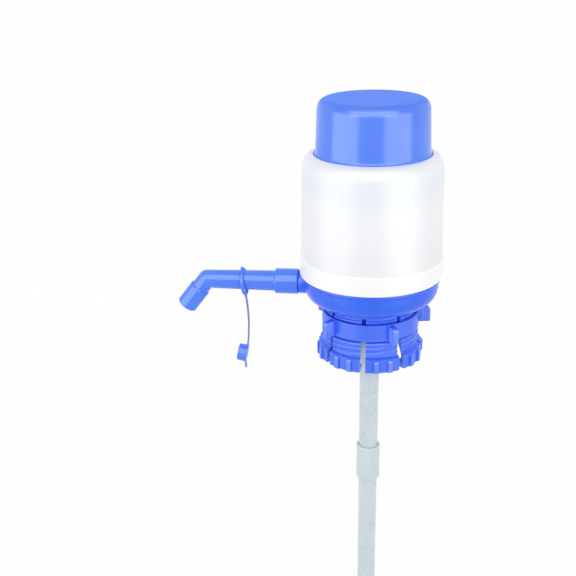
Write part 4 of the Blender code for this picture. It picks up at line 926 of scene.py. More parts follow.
print("a finger has", len(OUTER_ROWS), "outer rows and", len(INNER_COLUMNS), "columns between its edges")

# %% [markdown]
# Each point of a finger is placed by its height, its radius and either its angle or its distance from
# the slot's side. Measured from the slot's side, the edge stays straight although the slot widens.

# %% A point of a finger
def over_slot(side, height, lean):
    """Whether a row lies in the whole collar over the slots. Its rows lean with the thread."""
    return height > SLOT_TOP_Z - side * SLOT_LEAN * lean


def slot_half(side, height, lean):
    """Half the slot's width. Over the slots the fingers run into each other."""
    if over_slot(side, height, lean):
        return -FINGER_LAP
    share = (SLOT_TOP_Z - height) / (SLOT_TOP_Z - SLOT_BOTTOM_Z)
    return SLOT_HALF[0] + (SLOT_HALF[1] - SLOT_HALF[0]) * share


def on_finger(centre_deg, side, value, radius, height, lean):
    """A point of a finger: value is degrees from its centre, or millimetres from its slot's side."""
    angle = value
    if side:
        reach = 180 / FINGERS - math.degrees(math.asin(slot_half(side, height, lean) / radius))
        angle = side * (reach - math.degrees(value / radius))
    turn = math.radians(centre_deg + angle)
    rise = THREAD_PITCH * angle / 360 * lean
    return (radius * math.cos(turn), radius * math.sin(turn), height + rise)


print("a slot is", 2 * SLOT_HALF[0], "mm wide at its top and", 2 * SLOT_HALF[1], "mm at the rim")


# %% [markdown]
# A finger is a row of columns. Each runs down the outside, over the thread, the swell and the teeth,
# and back up the inside. The skin through the columns is the finger. Each end is closed by three flat
# faces, for the part over the slot, the slot's ceiling and the slot's side, because one face over all
# of them would be bent, and a bent face shades badly.

# %% The fingers, column by column
def finger_column(centre_deg, side, value):
    """One ring of points up the finger's outside and down its inside."""
    crest_height = THREAD_PHASE + THREAD_PITCH * (centre_deg - FRONT_DEG) / 360
    ring = []
    for height in OUTER_ROWS:
        lean = (1 - smooth(*LEAN_END, height)) * smooth(*LEAN_START, height)
        radius = root_radius(height) + thread_rise(height, crest_height) - RIM_ROUND.get(height, 0)
        if side and not over_slot(side, height, lean):
            radius -= max(0, CHAMFER - value)
        if not side:
            apart = min(abs(value - TOOTH_DEG), abs(value + TOOTH_DEG))
            radius += tooth_rise(height) * (1 - smooth(*TOOTH_FLANK_DEG, apart))
        ring.append(on_finger(centre_deg, side, value, radius, height, lean))
    for radius, height in rounded(INNER_ROWS, False):
        ring.append(on_finger(centre_deg, side, value, radius, height, 0))
    return ring


def end_faces(side):
    """A finger's end in flat parts: over the slot, the slot's ceiling, and the slot's side."""
    inner = rounded(INNER_ROWS, False)
    first_inner = len(OUTER_ROWS)
    outer_low = sum(1 for height in OUTER_ROWS if over_slot(side, height, 1))
    inner_high = first_inner + sum(1 for point in inner if not over_slot(side, point[1], 0))
    count = first_inner + len(inner)
    over = [*range(outer_low), *range(inner_high, count)]
    ceiling = [outer_low - 1, outer_low, inner_high - 1, inner_high]
    return over, ceiling, [*range(outer_low, inner_high)]


def finger(centre_deg):
    columns = [(-1, value) for value in EDGE_COLUMNS]
    columns += [(0, value) for value in INNER_COLUMNS]
    columns += [(1, value) for value in reversed(EDGE_COLUMNS)]
    rings = [finger_column(centre_deg, side, value) for side, value in columns]
    return skinned(rings, False, False, [end_faces(-1), end_faces(1)])


print("a column has", len(finger_column(FIRST_FINGER_DEG, 0, 0)), "points")


# %% [markdown]
# The eight fingers and the plain ring on top of them are joined into one moulding. Neighbours lap over
# the slots, so every other finger is joined first, and the others then fill the places between.

# %% Neck collet
COLLET_RING = [
    (31.2, 8.0, 0.3),
    (36.5, 8.0, 0.6),
    (36.5, 5.6, 0.3),
    (34.1, 5.6),
    (34.1, 4.6),
    (31.2, 4.6),
]
collet_mesh = turned(COLLET_RING)
for first in (0, 1):
    turns = [FIRST_FINGER_DEG + 360 / FINGERS * index for index in range(first, FINGERS, 2)]
    collet_mesh = joined(collet_mesh, merged([finger(turn) for turn in turns]))
finished("neck_collet_moulding", collet_mesh, ring_blue, "base", ["neck_collet"])

# %% [markdown]
# The clamp ring is a plain band with five lugs for the fingers. Each lug's sides have three upright
# grip grooves, and its top outer corner is well rounded, which shows as a bright dot. A bevel over a
# plain block would round every edge alike. Here a lug is its side view, made 4.6 mm thick in a few
# rings, with only its long edges eased, and the grooves are cut into it.

# %% A lug and its grooves
LUG_SIDE = [
    (36.1, -5.85),
    (46.0, -5.85, 2.4),
    (46.0, -17.7, 0.8),
    (36.1, -17.7),
]
LUG_HALF = 2.3
LUG_EASE = 0.45
LUG_EASE_STEP = 0.13
# The easing starts outside the band, so that the lug's root stays full
EASE_RADIUS = 40
EASE_REACH = 4
GROOVE_PLACES = (39.4, 41.3, 43.2)
GROOVE_RADIUS = 0.55
GROOVE_OFFSET = 0.2
GROOVE_HEIGHTS = (-19, -4)
GROOVE_STEPS = 16


def drawn_in(outline, inset):
    """The lug's side view, a little smaller all round but for its root."""
    middle_z = (outline[0][1] + outline[-1][1]) / 2
    points = []
    for radius, height in rounded(outline):
        radius -= inset * min(1, max(0, radius - EASE_RADIUS) / EASE_REACH)
        points.append((radius, height + (inset if height < middle_z else -inset)))
    return points


def lug():
    """A lug as rings across its thickness: a row gives the ring's place and how far it is drawn in."""
    sides = [(-LUG_HALF, LUG_EASE), (-LUG_HALF + LUG_EASE_STEP, LUG_EASE_STEP), (-LUG_HALF + LUG_EASE, 0)]
    sides += [(-y, inset) for y, inset in reversed(sides)]
    rings = [[(x, y, z) for x, z in drawn_in(LUG_SIDE, inset)] for y, inset in sides]
    return skinned(rings, False, True)


def grip_groove(radius, side):
    groove = peg(GROOVE_RADIUS, *GROOVE_HEIGHTS, GROOVE_STEPS)
    return moved(groove, Matrix.Translation(Vector((radius, side * (LUG_HALF + GROOVE_OFFSET), 0)) * MM))


def grooved_lug():
    grooves = [grip_groove(radius, side) for radius in GROOVE_PLACES for side in (-1, 1)]
    return cut(lug(), merged(grooves))


print("a lug is", 2 * LUG_HALF, "mm thick and has", 2 * len(GROOVE_PLACES), "grooves")

# %% [markdown]
# The five lugs stand evenly round the band. They are joined to it, and not just pushed into it, so
# that the ring is one closed mesh with no face hidden inside.

# %% Clamp ring
RING_OUTLINE = [
    (35.3, -5.35, 0.3),
    (37.0, -5.35, 0.5),
    (37.0, -18.2, 0.5),
    (35.3, -18.2, 0.3),
]
LUGS = 5
FIRST_LUG_DEG = FRONT_DEG + 26.6
ring_mesh = joined(turned(RING_OUTLINE), around(grooved_lug, LUGS, FIRST_LUG_DEG))
finished("clamp_ring_moulding", ring_mesh, ring_blue, "clamp", ["clamp_ring"])

# %% [markdown]
# The spout turns on the stub: a wide socket, a tapered pipe, and a bend down to the nozzle. Its
# mould has a mitred bend, wide on the outside and tight inside, so it isn't a plain swept tube. Here
# every line along the pipe takes its own arc through the corner, from 1.2 mm inside to 6.3 outside.
# First come the rings: one kind for the level leg, one for the sloping leg and one for the bend.

# %% Rings along the spout
BEND_DEG = 52
BEND = Vector((-126.5, 0, SPOUT_Z))
CURL = (1.2, 6.3)
SIDEWAYS = Vector((0, 1, 0))


def dipped(dip):
    """Which way the spout runs and which way is its upper side, at a dip in radians."""
    return Vector((-math.cos(dip), 0, -math.sin(dip))), Vector((-math.sin(dip), 0, math.cos(dip)))


def spout_turns():
    return [math.tau * step / SMALL_STEPS for step in range(SMALL_STEPS)]


def leg_ring(centre, dip, radius):
    """A ring square to a leg that runs at a dip in radians."""
    upper = dipped(dip)[1]
    ways = [upper * math.cos(turn) + SIDEWAYS * math.sin(turn) for turn in spout_turns()]
    return [centre + way * radius for way in ways]


def level_ring(distance, radius):
    """A ring on the level leg, at a distance from the pump's axis."""
    return leg_ring(Vector((-distance, 0, SPOUT_Z)), 0, radius)


def sloping_ring(travel, radius):
    """A ring on the sloping leg, at a travel past the corner."""
    bend = math.radians(BEND_DEG)
    return leg_ring(BEND + dipped(bend)[0] * travel, bend, radius)


def bend_ring(share, radius):
    """A ring in the bend, at a share of the way round it."""
    bend = math.radians(BEND_DEG)
    start_along, start_upper = dipped(0)
    corner_way = (start_upper + dipped(bend)[1]) / (1 + math.cos(bend))
    upper = dipped(bend * share)[1]
    ring = []
    for turn in spout_turns():
        curl = CURL[0] + (CURL[1] - CURL[0]) * (1 + math.cos(turn)) / 2
        corner = BEND + corner_way * radius * math.cos(turn)
        centre = corner - start_along * curl * math.tan(bend / 2) - start_upper * curl
        ring.append(centre + upper * curl + SIDEWAYS * radius * math.sin(turn))
    return ring


print("the spout bends by", BEND_DEG, "degrees at", tuple(BEND))

# %% [markdown]
# The rings are put in order: from the socket's mouth along the outside to the tip, and then back
# through the bore to the start. One closed skin through them is the whole pipe with its true wall.
# The tip has a narrower seat, on which the nozzle's sleeve is pushed up to a small step.

# %% Spout pipe
PIPE_TIP_RADIUS = 7.05
SEAT_RADIUS = 6.3
BORE_RADIUS = 5.4
STEP_START = 7.8
STEP_END = 8.55
PIPE_END = 18.3
SOCKET_FLOOR = 71.5
SOCKET_BORE_RADIUS = 7.5
OUTER_BEND_STEPS = 14
INNER_BEND_STEPS = 8
SOCKET_OUTLINE = [
    (SOCKET_BORE_RADIUS, 55.0, 0.3),
    (9.7, 55.0, 0.8),
    (9.7, 73.0, 1.2),
    (7.9, 73.0, 0.4),
    (7.55, 97.3),
]
socket_rings = [level_ring(distance, radius) for radius, distance in rounded(SOCKET_OUTLINE, False)]
pipe_rings = [level_ring(112.0, 7.35), level_ring(120.0, 7.2)]
outer_bend = [bend_ring(step / OUTER_BEND_STEPS, PIPE_TIP_RADIUS) for step in range(OUTER_BEND_STEPS + 1)]
tip_rings = [sloping_ring(travel, PIPE_TIP_RADIUS) for travel in (STEP_START, STEP_END)]
tip_rings += [sloping_ring(travel, SEAT_RADIUS) for travel in (STEP_END, PIPE_END)]
inner_bend = [bend_ring(step / INNER_BEND_STEPS, BORE_RADIUS) for step in range(INNER_BEND_STEPS, -1, -1)]
bore_rings = [sloping_ring(PIPE_END, BORE_RADIUS), *inner_bend]
bore_rings += [level_ring(SOCKET_FLOOR, radius) for radius in (BORE_RADIUS, SOCKET_BORE_RADIUS)]
spout_mesh = skinned([*socket_rings, *pipe_rings, *outer_bend, *tip_rings, *bore_rings])
finished("spout_pipe_moulding", spout_mesh, pipe_blue_painted_light, "spout", ["spout_pipe"])

# %% [markdown]
# The nozzle is a short sleeve pushed over the end of the pipe, with a stop ring inside and a rounded
# mouth, where the dust cap's plug goes in. It is turned and laid along the sloping leg, and a small
# round nub on its near side is joined to it.

# %% Nozzle tip
NOZZLE_OUTLINE = [
    (6.6, 8.6),
    (7.15, 8.6, 0.1),
    (8.0, 9.6, 0.8),
    (8.0, 28.2, 1.1),
    (6.7, 28.2, 0.15),
    (6.7, 19.8),
    (5.4, 19.8, 0.2),
    (5.4, 18.6, 0.2),
    (6.6, 18.6),
]
nozzle_mesh = laid(turned(NOZZLE_OUTLINE, SMALL_STEPS), dipped(math.radians(BEND_DEG))[0], BEND)
NUB_POINT = (-131.1, -7.7, 4.6)
NUB_WAY = (0.21, -0.96, -0.16)
NUB_STEPS = 32
NUB_OUTLINE = [
    (0, -1.0),
    (1.5, -1.0),
    (1.5, 0.0),
    *curve((0, 0.0), (1.5, 1.1), 10, 80, 8),
    (0, 1.1),
]
nub = turned(NUB_OUTLINE, NUB_STEPS)
nozzle_mesh = joined(nozzle_mesh, laid(nub, NUB_WAY, NUB_POINT))
finished("nozzle_tip_moulding", nozzle_mesh, pipe_blue_painted_light, "spout", ["nozzle_tip"])

# %% [markdown]
# The dust cap hangs from the pipe. It is one soft moulding: a loose loop that hangs a little askew, a
# flat strap that hangs in a shallow bow, and a hollow plug on a round plate with a pull tab.
# Soft polyethylene keeps the bow that it cooled in, so the strap is swept along a fixed curve. A
# simulation of cloth or string would let it hang limp, which the real strap doesn't do.

# %% Loop and strap
LOOP_X = -97.3
LOOP_LEAN = math.radians(6.5)
LOOP_SLACK = 1.6
LOOP_OUTLINE = [(9.35, -1.2, 0.3), (10.45, -1.2, 0.5), (10.45, 1.2, 0.5), (9.35, 1.2, 0.3)]
STRAP_CURL = 153.0
STRAP_APEX = 34.5
STRAP_BOW = 2.3
STRAP_HALF_WIDTH = 1.8
STRAP_HALF_THICK = 0.5
STRAP_CORNER = 0.3
STRAP_START = 11.5
STRAP_STEPS = 44
# The strap is thicker where it leaves the loop, over the first few millimetres
ROOT_THICKENING = 0.35
ROOT_END = 15.5
PLUG_DROP = 62.7


def strap_middle(drop):
    """The strap's middle line, a shallow parabola, at a drop below the spout's axis."""
    x = LOOP_X + STRAP_BOW - (drop - STRAP_APEX) ** 2 / (2 * STRAP_CURL)
    return Vector((x, 0, SPOUT_Z - drop))


def strap_lean(drop):
    """How far the strap leans from upright at a drop, in radians."""
    return math.atan((drop - STRAP_APEX) / STRAP_CURL)


def strap_section(centre, lean, half_thick, half_width, corner=STRAP_CORNER):
    """A flat band's section with rounded corners, square to the strap."""
    across = Vector((math.cos(lean), 0, -math.sin(lean)))
    corners = [(-half_thick, -half_width), (half_thick, -half_width), (half_thick, half_width)]
    corners.append((-half_thick, half_width))
    points = rounded([(x, y, corner) for x, y in corners])
    return [centre + across * x + SIDEWAYS * y for x, y in points]


strap_rings = []
for step in range(STRAP_STEPS + 1):
    drop = STRAP_START + (PLUG_DROP - STRAP_START) * step / STRAP_STEPS
    thick = STRAP_HALF_THICK + ROOT_THICKENING * (1 - smooth(STRAP_START, ROOT_END, drop))
    strap_rings.append(strap_section(strap_middle(drop), strap_lean(drop), thick, STRAP_HALF_WIDTH))
loop_centre = Vector((LOOP_X, 0, SPOUT_Z - LOOP_SLACK))
loop_way = Vector((-math.cos(LOOP_LEAN), 0, -math.sin(LOOP_LEAN)))
loop_mesh = laid(turned(LOOP_OUTLINE, SMALL_STEPS), loop_way, loop_centre)
dust_mesh = joined(loop_mesh, skinned(strap_rings, False, True))
print("the strap hangs down to", PLUG_DROP, "mm under the spout's axis")

# %% [markdown]
# Where the strap grows out of the loop, a thin web fills the corner on both sides, so that it doesn't
# tear there. At the loop's top a small round ear sticks up. Both are joined to what is there already.

# %% The loop's web and ear
WEB_CORNERS = [(7.2, -6.1), (7.2, 6.1), (9.8, 2.6), (9.8, -2.6)]
WEB_HALF_THICK = 0.6
EAR_DISTANCE = 9.9
EAR_STEPS = 24
EAR_OUTLINE = [
    (0, 0),
    (1.4, 0),
    (1.4, 1.2),
    *curve((0, 1.2), (1.4, 1.2), 10, 80, 6),
    (0, 2.4),
]
loop_down = Vector((math.sin(LOOP_LEAN), 0, -math.cos(LOOP_LEAN)))
web_rings = [
    [loop_centre + loop_down * down + SIDEWAYS * y + loop_way * out for down, y in WEB_CORNERS]
    for out in (-WEB_HALF_THICK, WEB_HALF_THICK)
]
ear = laid(turned(EAR_OUTLINE, EAR_STEPS), -loop_down, loop_centre - loop_down * EAR_DISTANCE)
dust_mesh = joined(joined(dust_mesh, skinned(web_rings, False, True)), ear)
print("the ear stands", EAR_DISTANCE, "mm from the loop's centre")

# %% [markdown]
# The plug is a round plate with a hollow peg, turned and laid square to the strap's end. The tab
# under it is swept like the strap, through a few sections that widen and then close in a round end.

# %% Plug and tab
PLUG_OUTLINE = [
    (0, -0.5),
    (7.1, -0.5, 0.4),
    (7.1, 0.8, 0.2),
    (6.75, 0.8),
    (6.6, 6.8, 0.6),
    (5.4, 6.8, 0.3),
    (5.5, 0.8, 0.4),
    (0, 0.8),
]
plug_lean = strap_lean(PLUG_DROP)
plug_centre = strap_middle(PLUG_DROP)
outward = (-math.cos(plug_lean), 0, math.sin(plug_lean))
dust_mesh = joined(dust_mesh, laid(turned(PLUG_OUTLINE, SMALL_STEPS), outward, plug_centre))

# Each station is a travel down the tab, half its thickness and half its width
TAB_STATIONS = [
    (-0.9, 0.45, 1.8),
    (0, 0.42, 1.8),
    (2.6, 0.42, 2.0),
    (4.8, 0.5, 2.1),
    (5.8, 0.45, 1.9),
    (6.2, 0.35, 1.5),
]
TAB_BEND_DEG = -13
TAB_ROOT = 6.3
TAB_CORNER = 0.25
tab_lean = plug_lean + math.radians(TAB_BEND_DEG)
tab_way = Vector((-math.sin(plug_lean), 0, -math.cos(plug_lean)))
tab_hang = Vector((-math.sin(tab_lean), 0, -math.cos(tab_lean)))
tab_rings = []
for travel, half_thick, half_width in TAB_STATIONS:
    centre = plug_centre + tab_way * TAB_ROOT + tab_hang * travel
    tab_rings.append(strap_section(centre, tab_lean, half_thick, half_width, TAB_CORNER))
dust_mesh = joined(dust_mesh, skinned(tab_rings, False, True))
finished("dust_cap_moulding", dust_mesh, soft_blue, "cap_strap", ["dust_cap"])

# %% [markdown]
# The dip tube is extruded, cut to three lengths and joined by two sleeves, so that it packs small.
# The last length has notches, so that it still draws when it stands on a flat floor.
# Two crossed blocks cut all four of them.

# %% Dip tube
TUBE_TOPS = (3.0, -142.1, -287.2)
TUBE_NAMES = ("dip_tube_upper", "dip_tube_middle", "dip_tube_lower")
TUBE_LENGTH = 143.0
TUBE_RADIUS = 7.5
TUBE_BORE_RADIUS = 6.2
TUBE_EDGE = 0.3
NOTCH_HALF = 2.5
NOTCH_REACH = 9
NOTCH_HEIGHT = 7
NOTCH_OVERRUN = 1
for tube_name, top in zip(TUBE_NAMES, TUBE_TOPS):
    bottom = top - TUBE_LENGTH
    tube = [
        (TUBE_BORE_RADIUS, top, TUBE_EDGE),
        (TUBE_RADIUS, top, TUBE_EDGE),
        (TUBE_RADIUS, bottom, TUBE_EDGE),
        (TUBE_BORE_RADIUS, bottom, TUBE_EDGE),
    ]
    tube_mesh = turned(tube, SMALL_STEPS)
    if tube_name == TUBE_NAMES[-1]:
        for x, y in ((NOTCH_REACH, NOTCH_HALF), (NOTCH_HALF, NOTCH_REACH)):
            notch = block((-x, -y, bottom - NOTCH_OVERRUN), (x, y, bottom + NOTCH_HEIGHT))
            tube_mesh = cut(tube_mesh, notch)
    finished(f"{tube_name}_extrusion", tube_mesh, tube_clear, "base", [tube_name])

# %% [markdown]
# A sleeve grips two lengths of tube, and a thin stop ring halfway in it keeps their ends apart.

# %% Couplers
COUPLERS = (("tube_coupler_upper", -140.3), ("tube_coupler_lower", -285.4))
STOP_THICKNESS = 1.5
COUPLER_HALF = 15
COUPLER_RADIUS = 9.5
COUPLER_BORE_RADIUS = 7.8
for coupler_name, stop_top in COUPLERS:
    middle = stop_top - STOP_THICKNESS / 2
    stop_foot = stop_top - STOP_THICKNESS
    coupler = [
        (COUPLER_BORE_RADIUS, middle + COUPLER_HALF, 0.2),
        (COUPLER_RADIUS, middle + COUPLER_HALF, 0.8),
        (COUPLER_RADIUS, middle - COUPLER_HALF, 0.8),
        (COUPLER_BORE_RADIUS, middle - COUPLER_HALF, 0.2),
        (COUPLER_BORE_RADIUS, stop_foot),
        (TUBE_BORE_RADIUS, stop_foot),
        (TUBE_BORE_RADIUS, stop_top),
        (COUPLER_BORE_RADIUS, stop_top),
    ]
    sleeve = turned(coupler, SMALL_STEPS)
    finished(f"{coupler_name}_moulding", sleeve, tube_clear, "base", [coupler_name])

# %% [markdown]
# Inside the housing the bellows stands on the deck and pushes the cap up again. It is blow moulded
# in natural polyethylene: its folds are rounded, never knife sharp. Seven folds typed by hand would
# be seven chances of a slip, so a loop writes their crests and waists.

# %% The bellows' folds
FOLDS = 7
FOLD_LOW = 34.5
FOLD_HIGH = 142.1
FOLD_RADIUS = 37.0
WAIST_RADIUS = 29.5
FOLD_CORNER = 1.6
fold_pitch = (FOLD_HIGH - FOLD_LOW) / FOLDS
fold_line = []
for fold in range(FOLDS):
    fold_line.append((FOLD_RADIUS, FOLD_LOW + fold_pitch * (fold + 0.5), FOLD_CORNER))
    if fold < FOLDS - 1:
        fold_line.append((WAIST_RADIUS, FOLD_LOW + fold_pitch * (fold + 1), FOLD_CORNER))
print("a fold is", round(fold_pitch, 2), "mm high")

# %% [markdown]
# The line of folds goes up the outside, and the same line, drawn in by the wall's thickness, comes
# back down the inside. In the real pump the whole bag shortens like a spring when the cap goes down.

# %% Bellows
BELLOWS_WALL = 1.1
BELLOWS_FOOT_Z = 27.4
BELLOWS_TOP_Z = 143.6
BELLOWS_MOUTH_RADIUS = 24.0
FLANGE_TOP_Z = 28.9
MEDIUM_STEPS = 96
BELLOWS_OUTLINE = [
    (BELLOWS_MOUTH_RADIUS, FLANGE_TOP_Z, 0.3),
    (BELLOWS_MOUTH_RADIUS, BELLOWS_FOOT_Z, 0.3),
    (37.7, BELLOWS_FOOT_Z, 0.3),
    (37.7, FLANGE_TOP_Z, 0.3),
    (WAIST_RADIUS, FLANGE_TOP_Z, 0.5),
    (WAIST_RADIUS, FOLD_LOW, 1.0),
    *fold_line,
    (31.5, FOLD_HIGH, 0.3),
    (33.0, 142.85),
    (33.0, BELLOWS_TOP_Z, 0.2),
    (BELLOWS_MOUTH_RADIUS, BELLOWS_TOP_Z, 0.2),
    (BELLOWS_MOUTH_RADIUS, FOLD_HIGH),
    *[(radius - BELLOWS_WALL, height, corner) for radius, height, corner in reversed(fold_line)],
    (WAIST_RADIUS - BELLOWS_WALL, FOLD_LOW, 1.0),
    (WAIST_RADIUS - BELLOWS_WALL, FLANGE_TOP_Z, 0.5),
]
bellows_mesh = turned(BELLOWS_OUTLINE, MEDIUM_STEPS)
bellows = finished("bellows_blown_bag", bellows_mesh, inner_white, "base", ["bellows"])
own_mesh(bellows)

# %% [markdown]
# The rest of the inside is the plate on top of the bellows, the ring that holds its foot, the deck,
# the two rubber mushroom valves, and the seals. They are out of sight while the housing is on, but
# they show when the pump is taken apart, so they are turned with the same care. The plate and the
# deck each get a ring of small holes for the air round one for the valve's stem.

# %% Valve seats
SEAT_HOLES = 6
SEAT_HOLE_RADIUS = 1.4
SEAT_HOLE_DISTANCE = 4.8
STEM_HOLE_RADIUS = 1.9
SEAT_HOLE_STEPS = 20
SEAT_OVERRUN = 1.0


def valve_seat(low, high, x):
    """The holes for one mushroom valve, cut through a plate between two heights."""
    heights = (low - SEAT_OVERRUN, high + SEAT_OVERRUN)

    def small_hole():
        hole = peg(SEAT_HOLE_RADIUS, *heights, SEAT_HOLE_STEPS)
        return moved(hole, Matrix.Translation((SEAT_HOLE_DISTANCE * MM, 0, 0)))

    stem_hole = peg(STEM_HOLE_RADIUS, *heights, SEAT_HOLE_STEPS)
    return moved(merged([around(small_hole, SEAT_HOLES), stem_hole]), Matrix.Translation((x * MM, 0, 0)))


print("a valve seat has", SEAT_HOLES, "air holes round the stem's hole")

# %% [markdown]
# The top plate has a collar that goes into the bellows' mouth, and the deck has a low ring that the
# retainer fits over. All three are turned. A hole off the axis can't be part of a turned outline, so
# the seats are cut through the plate and the deck afterwards.

# %% Inner mouldings
INLET_SEAT_Z = 143.9
OUTLET_SEAT_Z = 24.1
OUTLET_X = 15.5
PLATE_OUTLINE = [
    (0, 146.9),
    (33.0, 146.9, 0.4),
    (33.0, INLET_SEAT_Z, 0.3),
    (23.7, INLET_SEAT_Z),
    (23.7, 138.4, 0.3),
    (21.5, 138.4, 0.3),
    (21.5, INLET_SEAT_Z),
    (0, INLET_SEAT_Z),
]
DECK_OUTLINE = [
    (0, 27.1),
    (38.0, 27.1),
    (38.0, 30.7, 0.3),
    (39.6, 30.7, 0.3),
    (39.6, 27.1),
    (48.4, 27.1, 0.3),
    (48.4, OUTLET_SEAT_Z, 0.3),
    (0, OUTLET_SEAT_Z),
]
RETAINER_OUTLINE = [
    (30.6, 33.0, 0.3),
    (42.0, 33.0, 0.6),
    (42.0, 27.6, 0.3),
    (39.9, 27.6, 0.3),
    (39.9, 31.0),
    (37.7, 31.0),
    (37.7, 29.2, 0.3),
    (33.2, 29.2, 0.3),
    (33.2, 31.0),
    (30.6, 31.0, 0.3),
]
plate_mesh = cut(turned(PLATE_OUTLINE), valve_seat(INLET_SEAT_Z, PLATE_OUTLINE[0][1], 0))
deck_mesh = cut(turned(DECK_OUTLINE), valve_seat(OUTLET_SEAT_Z, DECK_OUTLINE[0][1], OUTLET_X))
retainer_mesh = turned(RETAINER_OUTLINE)
finished("top_plate_moulding", plate_mesh, inner_white, "cap", ["bellows_top_plate"])
finished("valve_deck_moulding", deck_mesh, inner_white, "base", ["valve_deck"])
finished("retainer_moulding", retainer_mesh, inner_white, "base", ["bellows_retainer"])

# %% [markdown]
# A mushroom valve is a thin rubber disc on a stem. Its barb is pulled through the seat's middle hole
# and holds it there, and the disc covers the air holes from below until the air pushes it off. Both
# valves have one outline, which a loop places at its seat and ties to its own body.

# %% Valves
FLAP_STEPS = 48
VALVES = (
    ("inlet_valve", INLET_SEAT_Z, 0, "inlet_valve_flap"),
    ("outlet_valve", OUTLET_SEAT_Z, OUTLET_X, "outlet_valve_flap"),
)
for body_name, seat, x, node_name in VALVES:
    flap = [
        (0, seat + 5.9),
        (1.6, seat + 5.9, 0.3),
        (2.9, seat + 4.5, 0.3),
        (1.6, seat + 4.5),
        (1.6, seat - 0.3),
        (7.5, seat - 0.3, 0.1),
        (7.5, seat - 0.9, 0.2),
        (1.6, seat - 1.5, 1.0),
        (0, seat - 1.5),
    ]
    flap_mesh = moved(turned(flap, FLAP_STEPS), Matrix.Translation((x * MM, 0, 0)))
    finished(f"{node_name}_rubber", flap_mesh, rubber_black, body_name, [node_name])

# %% [markdown]
# Three rubber rings keep the air and the water where they belong: under the deck, under the bowl's
# floor and in the stub's groove. The first two are flat washers, and the last is a ring of round
# cord, so its section is nearly a full circle whose last gap the closed outline fills.

# %% Seals
O_RING_MIDDLE = (6.55, 64.0)
O_RING_RADIUS = 0.8
O_RING_SWEEP_DEG = -345
O_RING_STEPS = 23


def washer(inner, outer, low, high, corner):
    """A flat ring between two radii and two heights."""
    return [(inner, high, corner), (outer, high, corner), (outer, low, corner), (inner, low, corner)]


deck_gasket_mesh = turned(washer(46.0, 48.4, 22.3, 23.8, 0.3), MEDIUM_STEPS)
neck_gasket_mesh = turned(washer(20.0, 28.0, 0, 3.0, 0.5), MEDIUM_STEPS)
o_ring = curve(O_RING_MIDDLE, (O_RING_RADIUS, O_RING_RADIUS), 0, O_RING_SWEEP_DEG, O_RING_STEPS)
o_ring_mesh = laid(turned(o_ring, SMALL_STEPS), (-1, 0, 0), (0, 0, SPOUT_Z))
finished("deck_gasket_rubber", deck_gasket_mesh, rubber_black, "base", ["deck_gasket"])
finished("neck_gasket_rubber", neck_gasket_mesh, silicone_clear, "base", ["neck_gasket"])
finished("spout_o_ring_rubber", o_ring_mesh, rubber_black, "base", ["spout_o_ring"])

# %% [markdown]
# The pump stands over a wide pale floor that fades into a white background. It is one flat square
# under the tube's end, far larger than the picture shows.

# %% Floor
FLOOR_Z = -430.5
FLOOR_HALF = 15000.0
floor_corners = [(-1, -1), (1, -1), (1, 1), (-1, 1)]
floor_data = bpy.data.meshes.new("floor")
floor_points = [Vector((x * FLOOR_HALF, y * FLOOR_HALF, FLOOR_Z)) * MM for x, y in floor_corners]
floor_data.from_pydata(floor_points, [], [(0, 1, 2, 3)])
floor = bpy.data.objects.new("floor", floor_data)
bpy.context.scene.collection.objects.link(floor)
print("the floor lies at", FLOOR_Z, "mm")

# %% [markdown]
# More light on the object would turn the background white, but it would wash out the pump too. So
# the background's white comes from its own material. The light path says what kind of ray has come:
# one from the camera, off a gloss or through a clear material looks at a thing, and any other brings
# light to the pump. Only the rays that look see the even white.

# %% What a ray looks at
LOOKING_RAYS = ("Is Camera Ray", "Is Glossy Ray", "Is Transmission Ray")


def looked_at(tree):
    """1 for a ray from the camera, a gloss or a clear material, and 0 for light that lands."""
    path = node(tree, "ShaderNodeLightPath").node
    seen = path.outputs[LOOKING_RAYS[0]]
    for ray in LOOKING_RAYS[1:]:
        seen = node(tree, "ShaderNodeMath", {0: seen, 1: path.outputs[ray]}, operation="MAXIMUM")
    return seen


print("rays that see the even white:", LOOKING_RAYS)


# %% [markdown]
# The floor is a little of both: mostly its own even light where it is looked at, and for the rest a
# matt white that takes the pump's shadow. Away from the pump the even light takes over.

# %% The floor's white
# The share of even light close to the pump and far from it, and the distances in metres between them
FLOOR_GLOW = (0.88, 0.99)
FADE_REACH = (0.2, 1.2)
FLOOR_ROUGHNESS = 0.9
floor_white = bpy.data.materials.new("matt_white_board")
floor_white.use_nodes = True
floor_tree = floor_white.node_tree
floor_shader = floor_tree.nodes["Principled BSDF"]
floor_shader.inputs["Base Color"].default_value = linear("#F4F4F4")
floor_shader.inputs["Roughness"].default_value = FLOOR_ROUGHNESS
floor_place = node(floor_tree, "ShaderNodeTexCoord").node.outputs["Object"]
from_pump = node(floor_tree, "ShaderNodeVectorMath", operation="LENGTH").node
floor_tree.links.new(
    node(floor_tree, "ShaderNodeVectorMath", {0: floor_place, 1: (1, 1, 0)}, operation="MULTIPLY"),
    from_pump.inputs[0],
)
even_light = node(
    floor_tree,
    "ShaderNodeMapRange",
    {
        "Value": from_pump.outputs["Value"],
        "From Min": FADE_REACH[0],
        "From Max": FADE_REACH[1],
        "To Min": FLOOR_GLOW[0],
        "To Max": FLOOR_GLOW[1],
    },
    interpolation_type="SMOOTHSTEP",
)
share = node(floor_tree, "ShaderNodeMath", {0: looked_at(floor_tree), 1: even_light}, operation="MULTIPLY")
board = node(
    floor_tree,
    "ShaderNodeMixShader",
    {0: share, 1: floor_shader.outputs["BSDF"], 2: node(floor_tree, "ShaderNodeEmission")},
)
floor_tree.links.new(board, floor_tree.nodes["Material Output"].inputs["Surface"])
floor_data.materials.append(floor_white)
print("the floor fades to white between", FADE_REACH, "metres")

